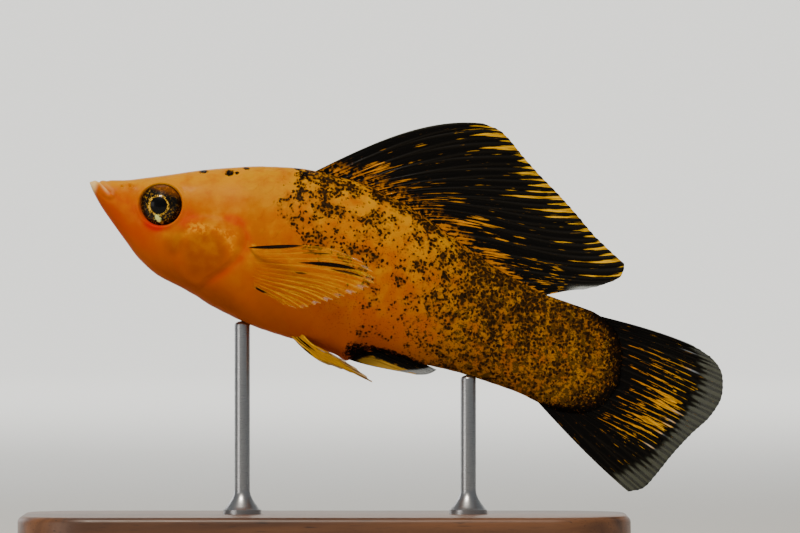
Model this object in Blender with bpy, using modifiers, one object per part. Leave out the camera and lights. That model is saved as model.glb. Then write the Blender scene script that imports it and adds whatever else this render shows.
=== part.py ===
"""Red leopard sailfin molly, a male, life size, swimming on a plain display stand.

The fish is laid out straight in its own frame, in millimetres: x runs from the lower lip to
the tail, y to its right side and z to its back. One empty tips it head up into its pose.
"""

import math

import bmesh
import bpy
from mathutils import Vector

MM = 0.001
GAP = 0.3  # clearance that neighbouring solids keep

# Pose above the stand, whose underside centre is the origin.
HEAD_UP = math.radians(20)
SNOUT_X = -27.0
SNOUT_Z = 41.8

# Flesh from the lower lip to the tail root: distance along, back, belly, half width, level of
# the widest point, and the powers of the upper and lower half sections (2 is an ellipse).
STATIONS = (
    (0.0, 0.0, -0.3, 0.15, -0.15, 2.0, 2.0),
    (0.5, 0.2, -0.85, 0.95, -0.35, 2.2, 2.0),
    (1.2, 0.45, -1.5, 1.45, -0.5, 2.4, 2.0),
    (2.2, 0.95, -2.35, 1.85, -0.6, 2.5, 1.9),
    (3.8, 1.55, -3.5, 2.35, -0.6, 2.6, 1.8),
    (6.0, 2.65, -5.0, 3.0, -0.6, 2.6, 1.8),
    (8.5, 3.95, -6.6, 3.6, -0.8, 2.5, 1.8),
    (11.4, 5.5, -7.65, 4.1, -1.3, 2.4, 1.8),
    (14.5, 6.95, -8.0, 4.45, -1.6, 2.2, 1.9),
    (18.3, 8.5, -8.8, 4.8, -1.4, 2.0, 2.0),
    (24.0, 10.0, -9.3, 4.8, -0.6, 1.8, 2.1),
    (30.0, 10.45, -9.1, 4.35, 0.2, 1.8, 2.1),
    (33.4, 10.15, -9.15, 3.93, 0.35, 1.8, 2.0),
    (34.6, 9.99, -9.45, 3.78, 0.38, 1.8, 2.0),
    (36.2, 9.71, -8.0, 3.58, 0.4, 1.8, 2.0),
    (38.4, 9.18, -7.05, 3.33, 0.38, 1.8, 2.0),
    (42.0, 8.1, -6.85, 2.95, 0.3, 1.8, 2.0),
    (48.0, 6.5, -6.2, 2.4, 0.1, 1.9, 2.0),
    (54.0, 5.7, -6.05, 1.85, -0.1, 2.0, 2.0),
    (59.0, 5.75, -6.5, 1.3, -0.3, 2.0, 2.0),
    (62.2, 4.9, -5.9, 0.85, -0.5, 2.0, 2.0),
    (64.3, 2.6, -4.0, 0.55, -0.8, 2.0, 2.0),
    (65.1, -0.7, -1.3, 0.42, -1.0, 2.0, 2.0),
)
FLESH_LENGTH = STATIONS[-1][0]
FLESH_RINGS = 46
FLESH_SIDES = 32
END_CROWDING = 0.72  # how far the rings crowd towards both ends, from 0 to 1

# Gill covers stand proud of the flank along their rear edge.
GILL_LIFT = 0.4
GILL_FRONT = 11.5
GILL_REAR = 18.4
GILL_MIDDLE = -3.0
GILL_REACH = 6.5
GILL_EDGE = (
    (14.2, 14.0), (14.6, 6.0), (16.2, 2.0), (18.1, -0.6), (18.6, -3.2), (17.9, -6.2), (15.0, -12.0)
)
GILL_EDGE_SPANS = 16
STEM_EDGE = ((57.0, 14.0), (49.5, -12.0))

# Head. Each line of the mouth is an arc round the snout, given by the place along and the
# level of its middle and of its corners.
MOUTH_HALF = 1.85
MOUTH_LINE = ((0.95, 0.3), (2.65, -0.45))
UPPER_LIP = ((1.75, 0.45), (2.75, -0.2))
LOWER_LIP = ((0.5, -0.15), (2.45, -0.8))
LIP_RADIUS = 0.42
SLIT_RADIUS = 0.2
NOSTRIL = (4.7, 1.2)
NOSTRIL_RADIUS = 0.3
EYE_CENTRE = (8.75, 2.4, 0.25)
EYE_RADIUS = 2.4
EYE_DEPTH = 1.75
EYE_TURN = math.radians(8)

# Fins: number of rays, and the thickness of ray and membrane at the root and at the margin
DORSAL_RAYS = 16
CAUDAL_RAYS = 18
PECTORAL_RAYS = 12
PELVIC_RAYS = 6
ANAL_RAYS = 4
RAY_THICK = (0.95, 0.6)
WEB_THICK = (0.6, 0.5)
WEB_NOTCH = 0.985

# Stand
BASE_SIZE = (70.0, 36.0, 3.5)
BASE_CORNER = 9.0
BASE_EDGE = 0.7
ROD_RADIUS = 0.9
ROD_FOOT_RADIUS = 2.2
ROD_FOOT_HEIGHT = 1.0
ROD_PLACES = {"stand_rod_front": -9.5, "stand_rod_rear": 16.5}

COLOURS = {
    "flesh_orange": ((0.87, 0.33, 0.02), 0.35, 0.0),
    "fin_black": ((0.03, 0.025, 0.02), 0.4, 0.0),
    "fin_amber": ((0.80, 0.38, 0.04), 0.4, 0.0),
    "eye_dark": ((0.05, 0.04, 0.03), 0.1, 0.0),
    "walnut": ((0.16, 0.08, 0.04), 0.45, 0.0),
    "steel": ((0.6, 0.6, 0.6), 0.3, 1.0),
}


def curve_through(points):
    """A smooth function through (x, value) points, by cubic pieces with averaged slopes."""
    xs = [p[0] for p in points]
    ys = [p[1] for p in points]
    steps = [(ys[i + 1] - ys[i]) / (xs[i + 1] - xs[i]) for i in range(len(xs) - 1)]
    slopes = [steps[0]]
    for before, after in zip(steps, steps[1:]):
        turns = before * after <= 0
        slopes.append(0.0 if turns else 2 * before * after / (before + after))
    slopes.append(steps[-1])

    def value(x):
        x = min(max(x, xs[0]), xs[-1])
        i = max(k for k in range(len(xs) - 1) if xs[k] <= x)
        width = xs[i + 1] - xs[i]
        t = (x - xs[i]) / width
        rise = ys[i + 1] - ys[i]
        start, end = slopes[i] * width, slopes[i + 1] * width
        return ys[i] + t * (start + t * (3 * rise - 2 * start - end + t * (start + end - 2 * rise)))

    return value


BACK, BELLY, WIDTH, LEVEL, CROWN, KEEL = (
    curve_through([(row[0], row[i]) for row in STATIONS]) for i in range(1, 7)
)


def ease(t):
    """0 below 0, 1 above 1, and smooth between."""
    t = min(max(t, 0.0), 1.0)
    return t * t * (3 - 2 * t)


def mix(pair, t):
    return pair[0] + (pair[1] - pair[0]) * t


def gill_lift(along, level):
    """How far a gill cover stands proud of the plain flank."""
    across = ease(1.4 - abs(level - GILL_MIDDLE) / GILL_REACH)
    return GILL_LIFT * across * ease((along - GILL_FRONT) / (GILL_REAR - GILL_FRONT))


def flesh_point(along, turn, grow=0.0, gills=False):
    """The point of the skin at a distance along and a turn round from the back."""
    widest = LEVEL(along)
    upper = math.cos(turn) >= 0
    reach = (BACK(along) - widest if upper else widest - BELLY(along)) + grow
    power = 2 / (CROWN(along) if upper else KEEL(along))
    level = widest + math.copysign(reach * abs(math.cos(turn)) ** power, math.cos(turn))
    side = (WIDTH(along) + grow) * abs(math.sin(turn)) ** power
    if gills:
        side += gill_lift(along, level) * abs(math.sin(turn))
    return Vector((along, math.copysign(side, math.sin(turn)), level))


def flank(along, level):
    """Half width of the flesh at a distance along and a level."""
    widest = LEVEL(along)
    upper = level >= widest
    reach = BACK(along) - widest if upper else widest - BELLY(along)
    power = CROWN(along) if upper else KEEL(along)
    share = min(abs(level - widest) / reach, 1.0)
    return WIDTH(along) * (1 - share**power) ** (1 / power)


def posed(point):
    """A point of the fish's frame in the stand's frame, both in millimetres."""
    along, side, level = point
    return Vector(
        (
            SNOUT_X + along * math.cos(HEAD_UP) + level * math.sin(HEAD_UP),
            side,
            SNOUT_Z - along * math.sin(HEAD_UP) + level * math.cos(HEAD_UP),
        )
    )


def clear_scene():
    for obj in list(bpy.data.objects):
        bpy.data.objects.remove(obj, do_unlink=True)


def collection(name, shown=True):
    made = bpy.data.collections.new(name)
    made.hide_render = not shown
    bpy.context.scene.collection.children.link(made)
    return made


def material(name):
    colour, roughness, metallic = COLOURS[name]
    made = bpy.data.materials.get(name)
    if made is None:
        made = bpy.data.materials.new(name)
        made.use_nodes = True
        shader = made.node_tree.nodes["Principled BSDF"]
        shader.inputs["Base Color"].default_value = (*colour, 1.0)
        shader.inputs["Roughness"].default_value = roughness
        shader.inputs["Metallic"].default_value = metallic
    return made


def face_outward(bm):
    bm.normal_update()
    bmesh.ops.recalc_face_normals(bm, faces=bm.faces)


def place(name, bm, where, finish=None):
    """Makes an object of a bmesh that is in millimetres."""
    bmesh.ops.scale(bm, vec=(MM, MM, MM), verts=bm.verts)
    mesh = bpy.data.meshes.new(name)
    bm.to_mesh(mesh)
    bm.free()
    obj = bpy.data.objects.new(name, mesh)
    where.objects.link(obj)
    if finish:
        mesh.materials.append(material(finish))
        mesh.shade_smooth()
    else:
        obj.hide_render = True
        obj.display_type = "WIRE"
    return obj


def applied(obj):
    """Gives the object its evaluated shape as its own mesh, with no modifiers left."""
    bpy.context.view_layer.update()
    graph = bpy.context.evaluated_depsgraph_get()
    shape = bpy.data.meshes.new_from_object(obj.evaluated_get(graph))
    obj.modifiers.clear()
    obj.data = shape
    return obj


def keep_largest(obj):
    """Leaves only the largest closed surface of the object's mesh."""
    bm = bmesh.new()
    bm.from_mesh(obj.data)
    waiting = set(bm.faces)
    shells = []
    while waiting:
        shell, edge = set(), [waiting.pop()]
        while edge:
            face = edge.pop()
            shell.add(face)
            near = {other for side in face.edges for other in side.link_faces} & waiting
            waiting -= near
            edge.extend(near)
        shells.append(shell)
    shells.sort(key=lambda shell: sum(face.calc_area() for face in shell))
    scraps = [face for shell in shells[:-1] for face in shell]
    bmesh.ops.delete(bm, geom=scraps, context="FACES")
    bm.to_mesh(obj.data)
    bm.free()
    return obj


def combine(obj, operation, *others, solver="EXACT"):
    """Cuts the others from the object, or joins them to it."""
    for other in others:
        step = obj.modifiers.new(operation.lower(), "BOOLEAN")
        step.operation = operation
        step.solver = solver
        step.object = other
    return keep_largest(applied(obj))


def flesh(name, where, finish=None, grow=0.0, gills=False):
    """The whole body as one closed form: a sphere whose rings are moved to the stations."""
    bm = bmesh.new()
    bmesh.ops.create_uvsphere(bm, u_segments=FLESH_SIDES, v_segments=FLESH_RINGS, radius=1)
    for vert in bm.verts:
        share = math.acos(min(max(vert.co.z, -1.0), 1.0)) / math.pi
        crowd = END_CROWDING * math.sin(2 * math.pi * share) / (2 * math.pi)
        along = FLESH_LENGTH * (share - crowd)
        pole = abs(vert.co.z) > 1 - 1e-6
        if pole:
            vert.co = Vector((along, 0, (BACK(along) + BELLY(along)) / 2))
        else:
            vert.co = flesh_point(along, math.atan2(vert.co.y, vert.co.x), grow, gills)
        vert.co.x += grow * (2 * share - 1)
    face_outward(bm)
    return place(name, bm, where, finish)


def side_block(name, outline, where, half=20.0):
    """A prism through the fish, from an outline in its side view."""
    bm = bmesh.new()
    face = bm.faces.new([bm.verts.new((x, -half, z)) for x, z in outline])
    moved = bmesh.ops.extrude_face_region(bm, geom=[face])["geom"]
    bmesh.ops.translate(
        bm, vec=(0, 2 * half, 0), verts=[v for v in moved if isinstance(v, bmesh.types.BMVert)]
    )
    face_outward(bm)
    return place(name, bm, where)


def gill_edge():
    """The line of the gill covers' rear edge, smoothed."""
    line = path_through(GILL_EDGE)
    return [line(i / GILL_EDGE_SPANS) for i in range(GILL_EDGE_SPANS + 1)]


def ahead_of(edge, name, where):
    """A prism over all that lies ahead of an edge, with half the gap added."""
    return side_block(name, [(-20, -12)] + [(-20, 14)] + [(x + GAP / 2, z) for x, z in edge], where)


def behind(edge, name, where):
    """A prism over all that lies behind an edge, with half the gap added."""
    return side_block(name, [(90, -12)] + [(90, 14)] + [(x - GAP / 2, z) for x, z in edge], where)


def ball(name, centre, radii, turn, where, finish=None, segments=20):
    """An ellipsoid, turned about the upright axis."""
    bm = bmesh.new()
    bmesh.ops.create_uvsphere(bm, u_segments=segments, v_segments=segments * 3 // 5, radius=1)
    for vert in bm.verts:
        side, up, out = vert.co.x * radii[0], vert.co.y * radii[2], vert.co.z * radii[1]
        vert.co = Vector(
            (
                centre[0] + side * math.cos(turn) - out * math.sin(turn),
                centre[1] + side * math.sin(turn) + out * math.cos(turn),
                centre[2] + up,
            )
        )
    face_outward(bm)
    return place(name, bm, where, finish)


def eye(name, side, grow, where, finish=None):
    radii = (EYE_RADIUS + grow, EYE_DEPTH + grow, EYE_RADIUS + grow)
    centre = (EYE_CENTRE[0], side * EYE_CENTRE[1], EYE_CENTRE[2])
    return ball(name, centre, radii, side * EYE_TURN, where, finish)


def nostril(side, where):
    along, level = NOSTRIL
    centre = (along, side * flank(along, level), level)
    return ball("nostril", centre, [NOSTRIL_RADIUS] * 3, 0, where, segments=10)


def mouth_arc(line):
    """Points of an arc round the snout, from the middle and corner of one of its lines."""
    (middle_x, middle_z), (corner_x, corner_z) = line
    points = []
    for step in range(13):
        across = step / 6 - 1
        bend = across * across
        along = middle_x + (corner_x - middle_x) * bend
        points.append(Vector((along, MOUTH_HALF * across, middle_z + (corner_z - middle_z) * bend)))
    return points


def tube(name, points, radius, where):
    """A closed tube along points, as a mesh."""
    curve = bpy.data.curves.new(name, "CURVE")
    curve.dimensions = "3D"
    curve.bevel_depth = radius * MM
    curve.bevel_resolution = 2
    curve.use_fill_caps = True
    spline = curve.splines.new("POLY")
    spline.points.add(len(points) - 1)
    for knot, point in zip(spline.points, points):
        knot.co = (*(point * MM), 1)
    guide = bpy.data.objects.new(name + "_line", curve)
    where.objects.link(guide)
    bpy.context.view_layer.update()
    graph = bpy.context.evaluated_depsgraph_get()
    bm = bmesh.new()
    shape = bpy.data.meshes.new_from_object(guide.evaluated_get(graph))
    bm.from_mesh(shape)
    bpy.data.objects.remove(guide)
    bmesh.ops.remove_doubles(bm, verts=bm.verts, dist=1e-6)
    face_outward(bm)
    bmesh.ops.scale(bm, vec=(1 / MM, 1 / MM, 1 / MM), verts=bm.verts)
    return place(name, bm, where)


def mouth_tools(where):
    """The two lips to join to the head, and the slit to cut between them."""
    upper = tube("upper_lip", mouth_arc(UPPER_LIP), LIP_RADIUS, where)
    lower = tube("lower_lip", mouth_arc(LOWER_LIP), LIP_RADIUS, where)
    slit = tube("mouth_slit", mouth_arc(MOUTH_LINE), SLIT_RADIUS, where)
    return upper, lower, slit


def bowed(root, tip, lean_out, lean_in, t):
    """A point of a bowed line in the side view, from its ends and its slopes there in degrees."""
    reach = (tip - root).length / 3
    first = root + reach * Vector((math.cos(math.radians(lean_out)), math.sin(math.radians(lean_out))))
    second = tip - reach * Vector((math.cos(math.radians(lean_in)), math.sin(math.radians(lean_in))))
    s = 1 - t
    return s**3 * root + 3 * s * s * t * first + 3 * s * t * t * second + t**3 * tip


def path_through(points):
    """A smooth function from 0 to 1 along side view points, by the distance between them."""
    lengths = [0.0]
    for a, b in zip(points, points[1:]):
        lengths.append(lengths[-1] + math.dist(a, b))
    shares = [length / lengths[-1] for length in lengths]
    xs = curve_through(list(zip(shares, [p[0] for p in points])))
    zs = curve_through(list(zip(shares, [p[1] for p in points])))
    return lambda share: Vector((xs(share), zs(share)))


def ray_columns(rays):
    """The columns of a fin's grid as (place across from 0 to 1, whether it is on a ray)."""
    columns = []
    for ray in range(rays - 1):
        for offset, on_ray in ((0.0, True), (0.3, False), (0.7, False)):
            columns.append(((ray + offset) / (rays - 1), on_ray))
    return columns + [(1.0, True)]


def fin(name, rays, rows, point, finish, slimness, skin, where):
    """A fin with its rays as ridges: a grid laid on point(across, out), then given its thickness."""
    columns = ray_columns(rays)
    thickest = RAY_THICK[0] * slimness
    bm = bmesh.new()
    bmesh.ops.create_grid(bm, x_segments=len(columns) - 1, y_segments=rows, size=0.5)
    weights = []
    bm.verts.ensure_lookup_table()
    for vert in bm.verts:
        across, on_ray = columns[round((vert.co.x + 0.5) * (len(columns) - 1))]
        out = vert.co.y + 0.5
        thickness = mix(RAY_THICK if on_ray else WEB_THICK, out)
        weights.append(max(thickness * slimness, WEB_THICK[1]) / thickest)
        vert.co = point(across, out * (1.0 if on_ray else WEB_NOTCH))
    bmesh.ops.triangulate(bm, faces=bm.faces)
    obj = place(name, bm, where, finish)
    group = obj.vertex_groups.new(name="thickness")
    for index, weight in enumerate(weights):
        group.add([index], weight, "REPLACE")
    shell = obj.modifiers.new("thickness", "SOLIDIFY")
    shell.thickness = thickest * MM
    shell.offset = 0
    shell.vertex_group = group.name
    # The exact solver empties one of these thin shells.
    return combine(obj, "DIFFERENCE", skin, solver="MANIFOLD")


DORSAL_ROOT = curve_through(((0.0, 22.9), (0.2, 27.9), (0.4, 31.4), (0.6, 35.0), (0.8, 42.3), (1.0, 52.2)))
DORSAL_MARGIN = path_through(
    ((40.3, 21.7), (42.2, 21.6), (43.7, 21.0), (45.7, 19.8), (48.4, 18.35), (51.4, 16.9), (54.1, 15.45),
     (56.7, 13.95), (59.6, 12.65), (61.1, 11.9), (61.2, 10.9), (60.0, 9.4), (57.6, 7.7))
)
DORSAL_LEAN_ROOT = curve_through(
    ((0.0, 46.0), (0.2, 43.0), (0.4, 35.0), (0.6, 31.0), (0.8, 18.0), (1.0, 24.0))
)
DORSAL_LEAN_TIP = curve_through(
    ((0.0, 13.0), (0.2, 17.0), (0.4, 19.0), (0.6, 26.0), (0.8, 30.0), (1.0, 20.0))
)
DORSAL_CURL = 0.7
ROOT_DEPTH = 1.0


def dorsal_point(across, out):
    along = DORSAL_ROOT(across)
    root = Vector((along, BACK(along) - ROOT_DEPTH))
    leans = DORSAL_LEAN_ROOT(across), DORSAL_LEAN_TIP(across)
    spot = bowed(root, DORSAL_MARGIN(across), *leans, out)
    curl = DORSAL_CURL * out * out * math.sin(math.pi * (1.6 * across - 0.2))
    return Vector((spot.x, curl, spot.y))


CAUDAL_ROOT = path_through(
    ((57.5, 5.2), (61.3, 4.4), (63.2, 2.4), (64.0, -0.8), (63.2, -3.6), (61.2, -5.2), (56.0, -5.7))
)
CAUDAL_MARGIN = path_through(
    ((71.5, 5.95), (74.2, 5.3), (76.0, 3.9), (76.8, 1.2), (76.4, -0.8), (74.9, -3.85), (73.7, -6.7),
     (72.7, -9.6), (71.9, -11.4), (70.4, -12.4))
)
CAUDAL_LEAN_ROOT = curve_through(((0.0, 5.0), (0.3, 2.0), (0.6, -5.0), (1.0, -28.0)))
CAUDAL_LEAN_TIP = curve_through(((0.0, -4.0), (0.4, -4.0), (0.7, -20.0), (1.0, -20.0)))
CAUDAL_SWAY = 1.0


def caudal_point(across, out):
    leans = CAUDAL_LEAN_ROOT(across), CAUDAL_LEAN_TIP(across)
    spot = bowed(CAUDAL_ROOT(across), CAUDAL_MARGIN(across), *leans, out)
    sway = CAUDAL_SWAY * out * out * math.cos(math.pi * 1.3 * (across - 0.5))
    return Vector((spot.x, sway, spot.y))


PECTORAL_ROOT = path_through(((19.2, -1.1), (19.5, -2.4), (20.2, -3.7), (21.4, -4.8)))
PECTORAL_MARGIN = path_through(
    ((29.6, 2.2), (32.0, 2.1), (34.2, 1.3), (34.8, 0.3), (33.6, -1.3), (31.6, -2.8),
     (29.4, -4.4), (27.4, -5.6), (25.6, -5.7))
)
PECTORAL_SPLAY = math.tan(math.radians(17))
PECTORAL_CUP = 0.9
PECTORAL_STEP = 1.5  # how far the fleshy base steps out of the flank before the fin turns back


def pectoral_point(side):
    def point(across, out):
        root = PECTORAL_ROOT(across)
        spot = bowed(root, PECTORAL_MARGIN(across), 22 - 40 * across, 2 - 22 * across, out)
        away = flank(root.x, root.y) - ROOT_DEPTH + PECTORAL_STEP * ease(out / 0.13)
        away += (spot - root).length * PECTORAL_SPLAY + PECTORAL_CUP * out * math.sin(math.pi * across)
        return Vector((spot.x, side * away, spot.y))

    return point


PELVIC_ROOT = ((26.6, -8.0), (28.6, -8.0))
PELVIC_MARGIN = path_through(
    ((32.4, -10.5), (35.4, -10.4), (38.4, -10.6), (35.6, -9.7), (33.2, -9.3), (31.4, -9.2))
)
PELVIC_SPREAD = 2.3


def pelvic_point(side):
    def point(across, out):
        root = Vector(PELVIC_ROOT[0]).lerp(Vector(PELVIC_ROOT[1]), across)
        spot = bowed(root, PELVIC_MARGIN(across), -36 + 6 * across, -8, out)
        away = 0.9 + 0.7 * across + PELVIC_SPREAD * out * (0.45 + 0.55 * across)
        return Vector((spot.x, side * away, spot.y))

    return point


ANAL_ROOT = ((34.2, -9.1), (39.5, -6.1))
ANAL_MARGIN = path_through(((42.9, -8.1), (43.9, -7.7), (44.5, -7.25), (44.9, -6.75)))


def anal_point(across, out):
    root = Vector(ANAL_ROOT[0]).lerp(Vector(ANAL_ROOT[1]), across)
    spot = bowed(root, ANAL_MARGIN(across), -2 - 12 * across, 8 - 14 * across, out)
    return Vector((spot.x, 0.0, spot.y))


def stand_base(where):
    length, width, height = BASE_SIZE
    bm = bmesh.new()
    bmesh.ops.create_cube(bm, size=1)
    bmesh.ops.scale(bm, vec=BASE_SIZE, verts=bm.verts)
    bmesh.ops.translate(bm, vec=(0, 0, height / 2), verts=bm.verts)
    upright = [e for e in bm.edges if abs(e.verts[0].co.z - e.verts[1].co.z) > height / 2]
    bmesh.ops.bevel(
        bm, geom=upright, offset=BASE_CORNER, segments=6, affect="EDGES", profile=0.5, material=-1
    )
    top = [e for e in bm.edges if min(v.co.z for v in e.verts) > height * 0.99]
    bmesh.ops.bevel(bm, geom=top, offset=BASE_EDGE, segments=2, affect="EDGES", profile=0.5, material=-1)
    return place("stand_base", bm, where, "walnut")


def belly_above(x):
    """Height of the posed belly over a place along the stand."""
    spots = [posed((i * 0.1, 0, BELLY(i * 0.1))) for i in range(100, 600)]
    return min(spots, key=lambda spot: abs(spot.x - x)).z


def stand_rod(name, x, where, cutter):
    """A turned rod with a flanged foot, whose top is cut to the belly."""
    foot = BASE_SIZE[2] + GAP
    top = belly_above(x) + 2.5
    outline = (
        (0, top), (ROD_RADIUS, top), (ROD_RADIUS, foot + ROD_FOOT_HEIGHT + 0.8),
        (ROD_FOOT_RADIUS, foot + ROD_FOOT_HEIGHT / 2), (ROD_FOOT_RADIUS, foot), (0, foot),
    )
    bm = bmesh.new()
    verts = [bm.verts.new((r, 0, z)) for r, z in outline]
    for a, b in zip(verts, verts[1:]):
        bm.edges.new((a, b))
    obj = place(name, bm, where, "steel")
    obj.location.x = x * MM
    turn = obj.modifiers.new("turn", "SCREW")
    turn.steps = turn.render_steps = 16
    turn.use_merge_vertices = True
    turn.merge_threshold = 0.00001
    return combine(obj, "DIFFERENCE", cutter)


def build():
    clear_scene()
    shown = collection("sailfin_molly")
    tools = collection("cutters", shown=False)
    pose = bpy.data.objects.new("swimming_pose", None)
    shown.objects.link(pose)

    skin = flesh("clearance", tools, grow=GAP)
    upper_lip, lower_lip, slit = mouth_tools(tools)
    nostrils = [nostril(side, tools) for side in (-1, 1)]
    sockets = [eye("socket", side, GAP, tools) for side in (-1, 1)]
    head = flesh("head", shown, "flesh_orange", gills=True)
    combine(head, "UNION", upper_lip, lower_lip)
    combine(head, "DIFFERENCE", slit, *nostrils, *sockets, behind(gill_edge(), "rear", tools))
    trunk = flesh("trunk", shown, "flesh_orange")
    combine(trunk, "DIFFERENCE", ahead_of(gill_edge(), "front", tools), behind(STEM_EDGE, "aft", tools))
    stem = flesh("tail_stem", shown, "flesh_orange")
    combine(stem, "DIFFERENCE", ahead_of(STEM_EDGE, "fore", tools))
    fish = [head, trunk, stem]
    fish += [eye("eye_left", -1, 0, shown, "eye_dark"), eye("eye_right", 1, 0, shown, "eye_dark")]

    fins = [
        ("dorsal_fin", DORSAL_RAYS, 9, dorsal_point, "fin_black", 1.0),
        ("caudal_fin", CAUDAL_RAYS, 8, caudal_point, "fin_black", 1.0),
        ("gonopodium", ANAL_RAYS, 6, anal_point, "fin_black", 1.0),
    ]
    for side, word in ((-1, "left"), (1, "right")):
        fins.append(("pectoral_fin_" + word, PECTORAL_RAYS, 7, pectoral_point(side), "fin_amber", 0.85))
        fins.append(("pelvic_fin_" + word, PELVIC_RAYS, 6, pelvic_point(side), "fin_amber", 0.85))
    fish += [fin(*facts, skin, shown) for facts in fins]

    for obj in [*fish, skin]:
        obj.parent = pose
    pose.location = Vector((SNOUT_X, 0, SNOUT_Z)) * MM
    pose.rotation_euler = (0, HEAD_UP, 0)
    bpy.context.view_layer.update()
    stand_base(shown)
    for name, x in ROD_PLACES.items():
        stand_rod(name, x, shown, skin)


build()
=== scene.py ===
import math
from functools import partial

import bmesh
import bpy
import numpy as np
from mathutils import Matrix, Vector


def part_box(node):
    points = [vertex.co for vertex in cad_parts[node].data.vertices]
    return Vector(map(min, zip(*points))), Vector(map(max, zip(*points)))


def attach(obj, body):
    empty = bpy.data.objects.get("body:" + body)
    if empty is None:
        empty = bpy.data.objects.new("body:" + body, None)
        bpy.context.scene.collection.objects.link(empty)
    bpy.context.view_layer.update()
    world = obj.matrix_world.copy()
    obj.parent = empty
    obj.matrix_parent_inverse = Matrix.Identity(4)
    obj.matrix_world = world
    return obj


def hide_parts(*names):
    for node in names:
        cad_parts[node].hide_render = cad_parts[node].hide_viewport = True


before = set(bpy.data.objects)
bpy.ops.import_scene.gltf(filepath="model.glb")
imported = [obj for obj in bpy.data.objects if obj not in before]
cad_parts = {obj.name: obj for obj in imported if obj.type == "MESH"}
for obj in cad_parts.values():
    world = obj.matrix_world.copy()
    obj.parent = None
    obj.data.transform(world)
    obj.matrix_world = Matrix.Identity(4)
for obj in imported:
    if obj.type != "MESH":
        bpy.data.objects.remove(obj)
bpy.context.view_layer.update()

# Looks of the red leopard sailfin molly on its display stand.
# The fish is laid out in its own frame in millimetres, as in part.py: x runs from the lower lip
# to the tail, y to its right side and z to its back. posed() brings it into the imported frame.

MM = 0.001

# Pose over the stand
HEAD_UP = math.radians(20)
SNOUT_X = -27.0
SNOUT_Z = 41.8

# Body from the lower lip to the tail root: distance along, back, belly, half width, level of the
# widest point, and the powers of the upper and lower half sections (2 is an ellipse)
STATIONS = (
    (0.0, 0.0, -0.3, 0.15, -0.15, 2.0, 2.0),
    (0.5, 0.2, -0.85, 0.95, -0.35, 2.2, 2.0),
    (1.2, 0.45, -1.5, 1.45, -0.5, 2.4, 2.0),
    (2.2, 0.95, -2.35, 1.85, -0.6, 2.5, 1.9),
    (3.8, 1.55, -3.5, 2.35, -0.6, 2.6, 1.8),
    (6.0, 2.65, -5.0, 3.0, -0.6, 2.6, 1.8),
    (8.5, 3.95, -6.6, 3.6, -0.8, 2.5, 1.8),
    (11.4, 5.5, -7.65, 4.1, -1.3, 2.4, 1.8),
    (14.5, 6.95, -8.0, 4.45, -1.6, 2.2, 1.9),
    (18.3, 8.5, -8.8, 4.8, -1.4, 2.0, 2.0),
    (24.0, 10.0, -9.3, 4.8, -0.6, 1.8, 2.1),
    (30.0, 10.45, -9.1, 4.35, 0.2, 1.8, 2.1),
    (33.4, 10.15, -9.15, 3.93, 0.35, 1.8, 2.0),
    (34.6, 9.99, -9.45, 3.78, 0.38, 1.8, 2.0),
    (36.2, 9.71, -8.0, 3.58, 0.4, 1.8, 2.0),
    (38.4, 9.18, -7.05, 3.33, 0.38, 1.8, 2.0),
    (42.0, 8.1, -6.85, 2.95, 0.3, 1.8, 2.0),
    (48.0, 6.5, -6.2, 2.4, 0.1, 1.9, 2.0),
    (54.0, 5.7, -6.05, 1.85, -0.1, 2.0, 2.0),
    (59.0, 5.75, -6.5, 1.3, -0.3, 2.0, 2.0),
    (62.2, 4.9, -5.9, 0.85, -0.5, 2.0, 2.0),
    (64.3, 2.6, -4.0, 0.55, -0.8, 2.0, 2.0),
    (65.1, -0.7, -1.3, 0.42, -1.0, 2.0, 2.0),
)
LENGTH = STATIONS[-1][0]

# The skin's mesh: rings from lip to tail, sides round it, and how far apart the rings are
SKIN_RINGS = 330
SKIN_SIDES = 296
RING_STEPS = (
    (0.0, 0.04), (1.5, 0.07), (6.0, 0.1), (19.0, 0.11), (22.0, 0.4), (58.0, 0.5), (63.0, 0.2), (65.1, 0.06)
)
SCALE_DEPTH = 0.05  # how far the bare skin lies inside the solids, to leave room for the scales

# Head
MOUTH_HALF = 1.85
MOUTH_MIDDLE = (0.95, 0.3)
MOUTH_CORNER = (2.65, -0.45)
LIP_SWELL = 0.1
LIP_REACH = 0.45  # from the mouth's line to the crest of each lip
MOUTH_CREASE = 0.26
NOSTRILS = ((4.7, 1.2, 0.26), (3.7, 0.75, 0.16))
EYE_CENTRE = (8.75, 2.4, 0.25)
EYE_RADIUS = 2.4
EYE_DEPTH = 1.75
EYE_TURN = math.radians(8)
ORBIT_DEPTH = 1.05
ORBIT_FOLD = 0.05
GILL_LIFT = 0.22
GILL_FRONT = 11.5
GILL_REAR = 19.4
GILL_MIDDLE = -3.0
GILL_REACH = 6.5
GILL_TOP = 2.6
GILL_EDGE = (
    (-12.0, 14.5), (-6.2, 16.9), (-4.3, 18.2), (-2.4, 19.2), (-0.6, 19.4), (1.5, 18.0), (6.0, 15.2),
    (14.0, 14.2),
)
GILL_PLATE = (15.3, -3.2, 3.1)  # the round plate of the gill cover: its centre and its radius

# Scales: rows a side, columns, and a plate's length and width beside the spacing of its neighbours
SCALE_ROWS = 13
SCALE_COLUMNS = 30
SCALE_FRONT = 14.0
SCALE_REAR = 62.0
SCALE_OVERLAP = 1.5
SCALE_WIDTH = 1.16
SCALE_THICK = 0.03
SCALE_SINK = -0.014  # height of a plate's root over the skin
SCALE_RISE = 0.03  # height of its free edge
SCALE_DROOP = 0.006  # how far its sides hang under its middle
SCALE_START = 1.0  # from the gill cover's rear edge to the first scales
PATCH = 0.003  # size of each scale's patch on the map that it is baked through
MAP_EDGE = 0.01  # what that map leaves free at the lip and at the tail

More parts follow.
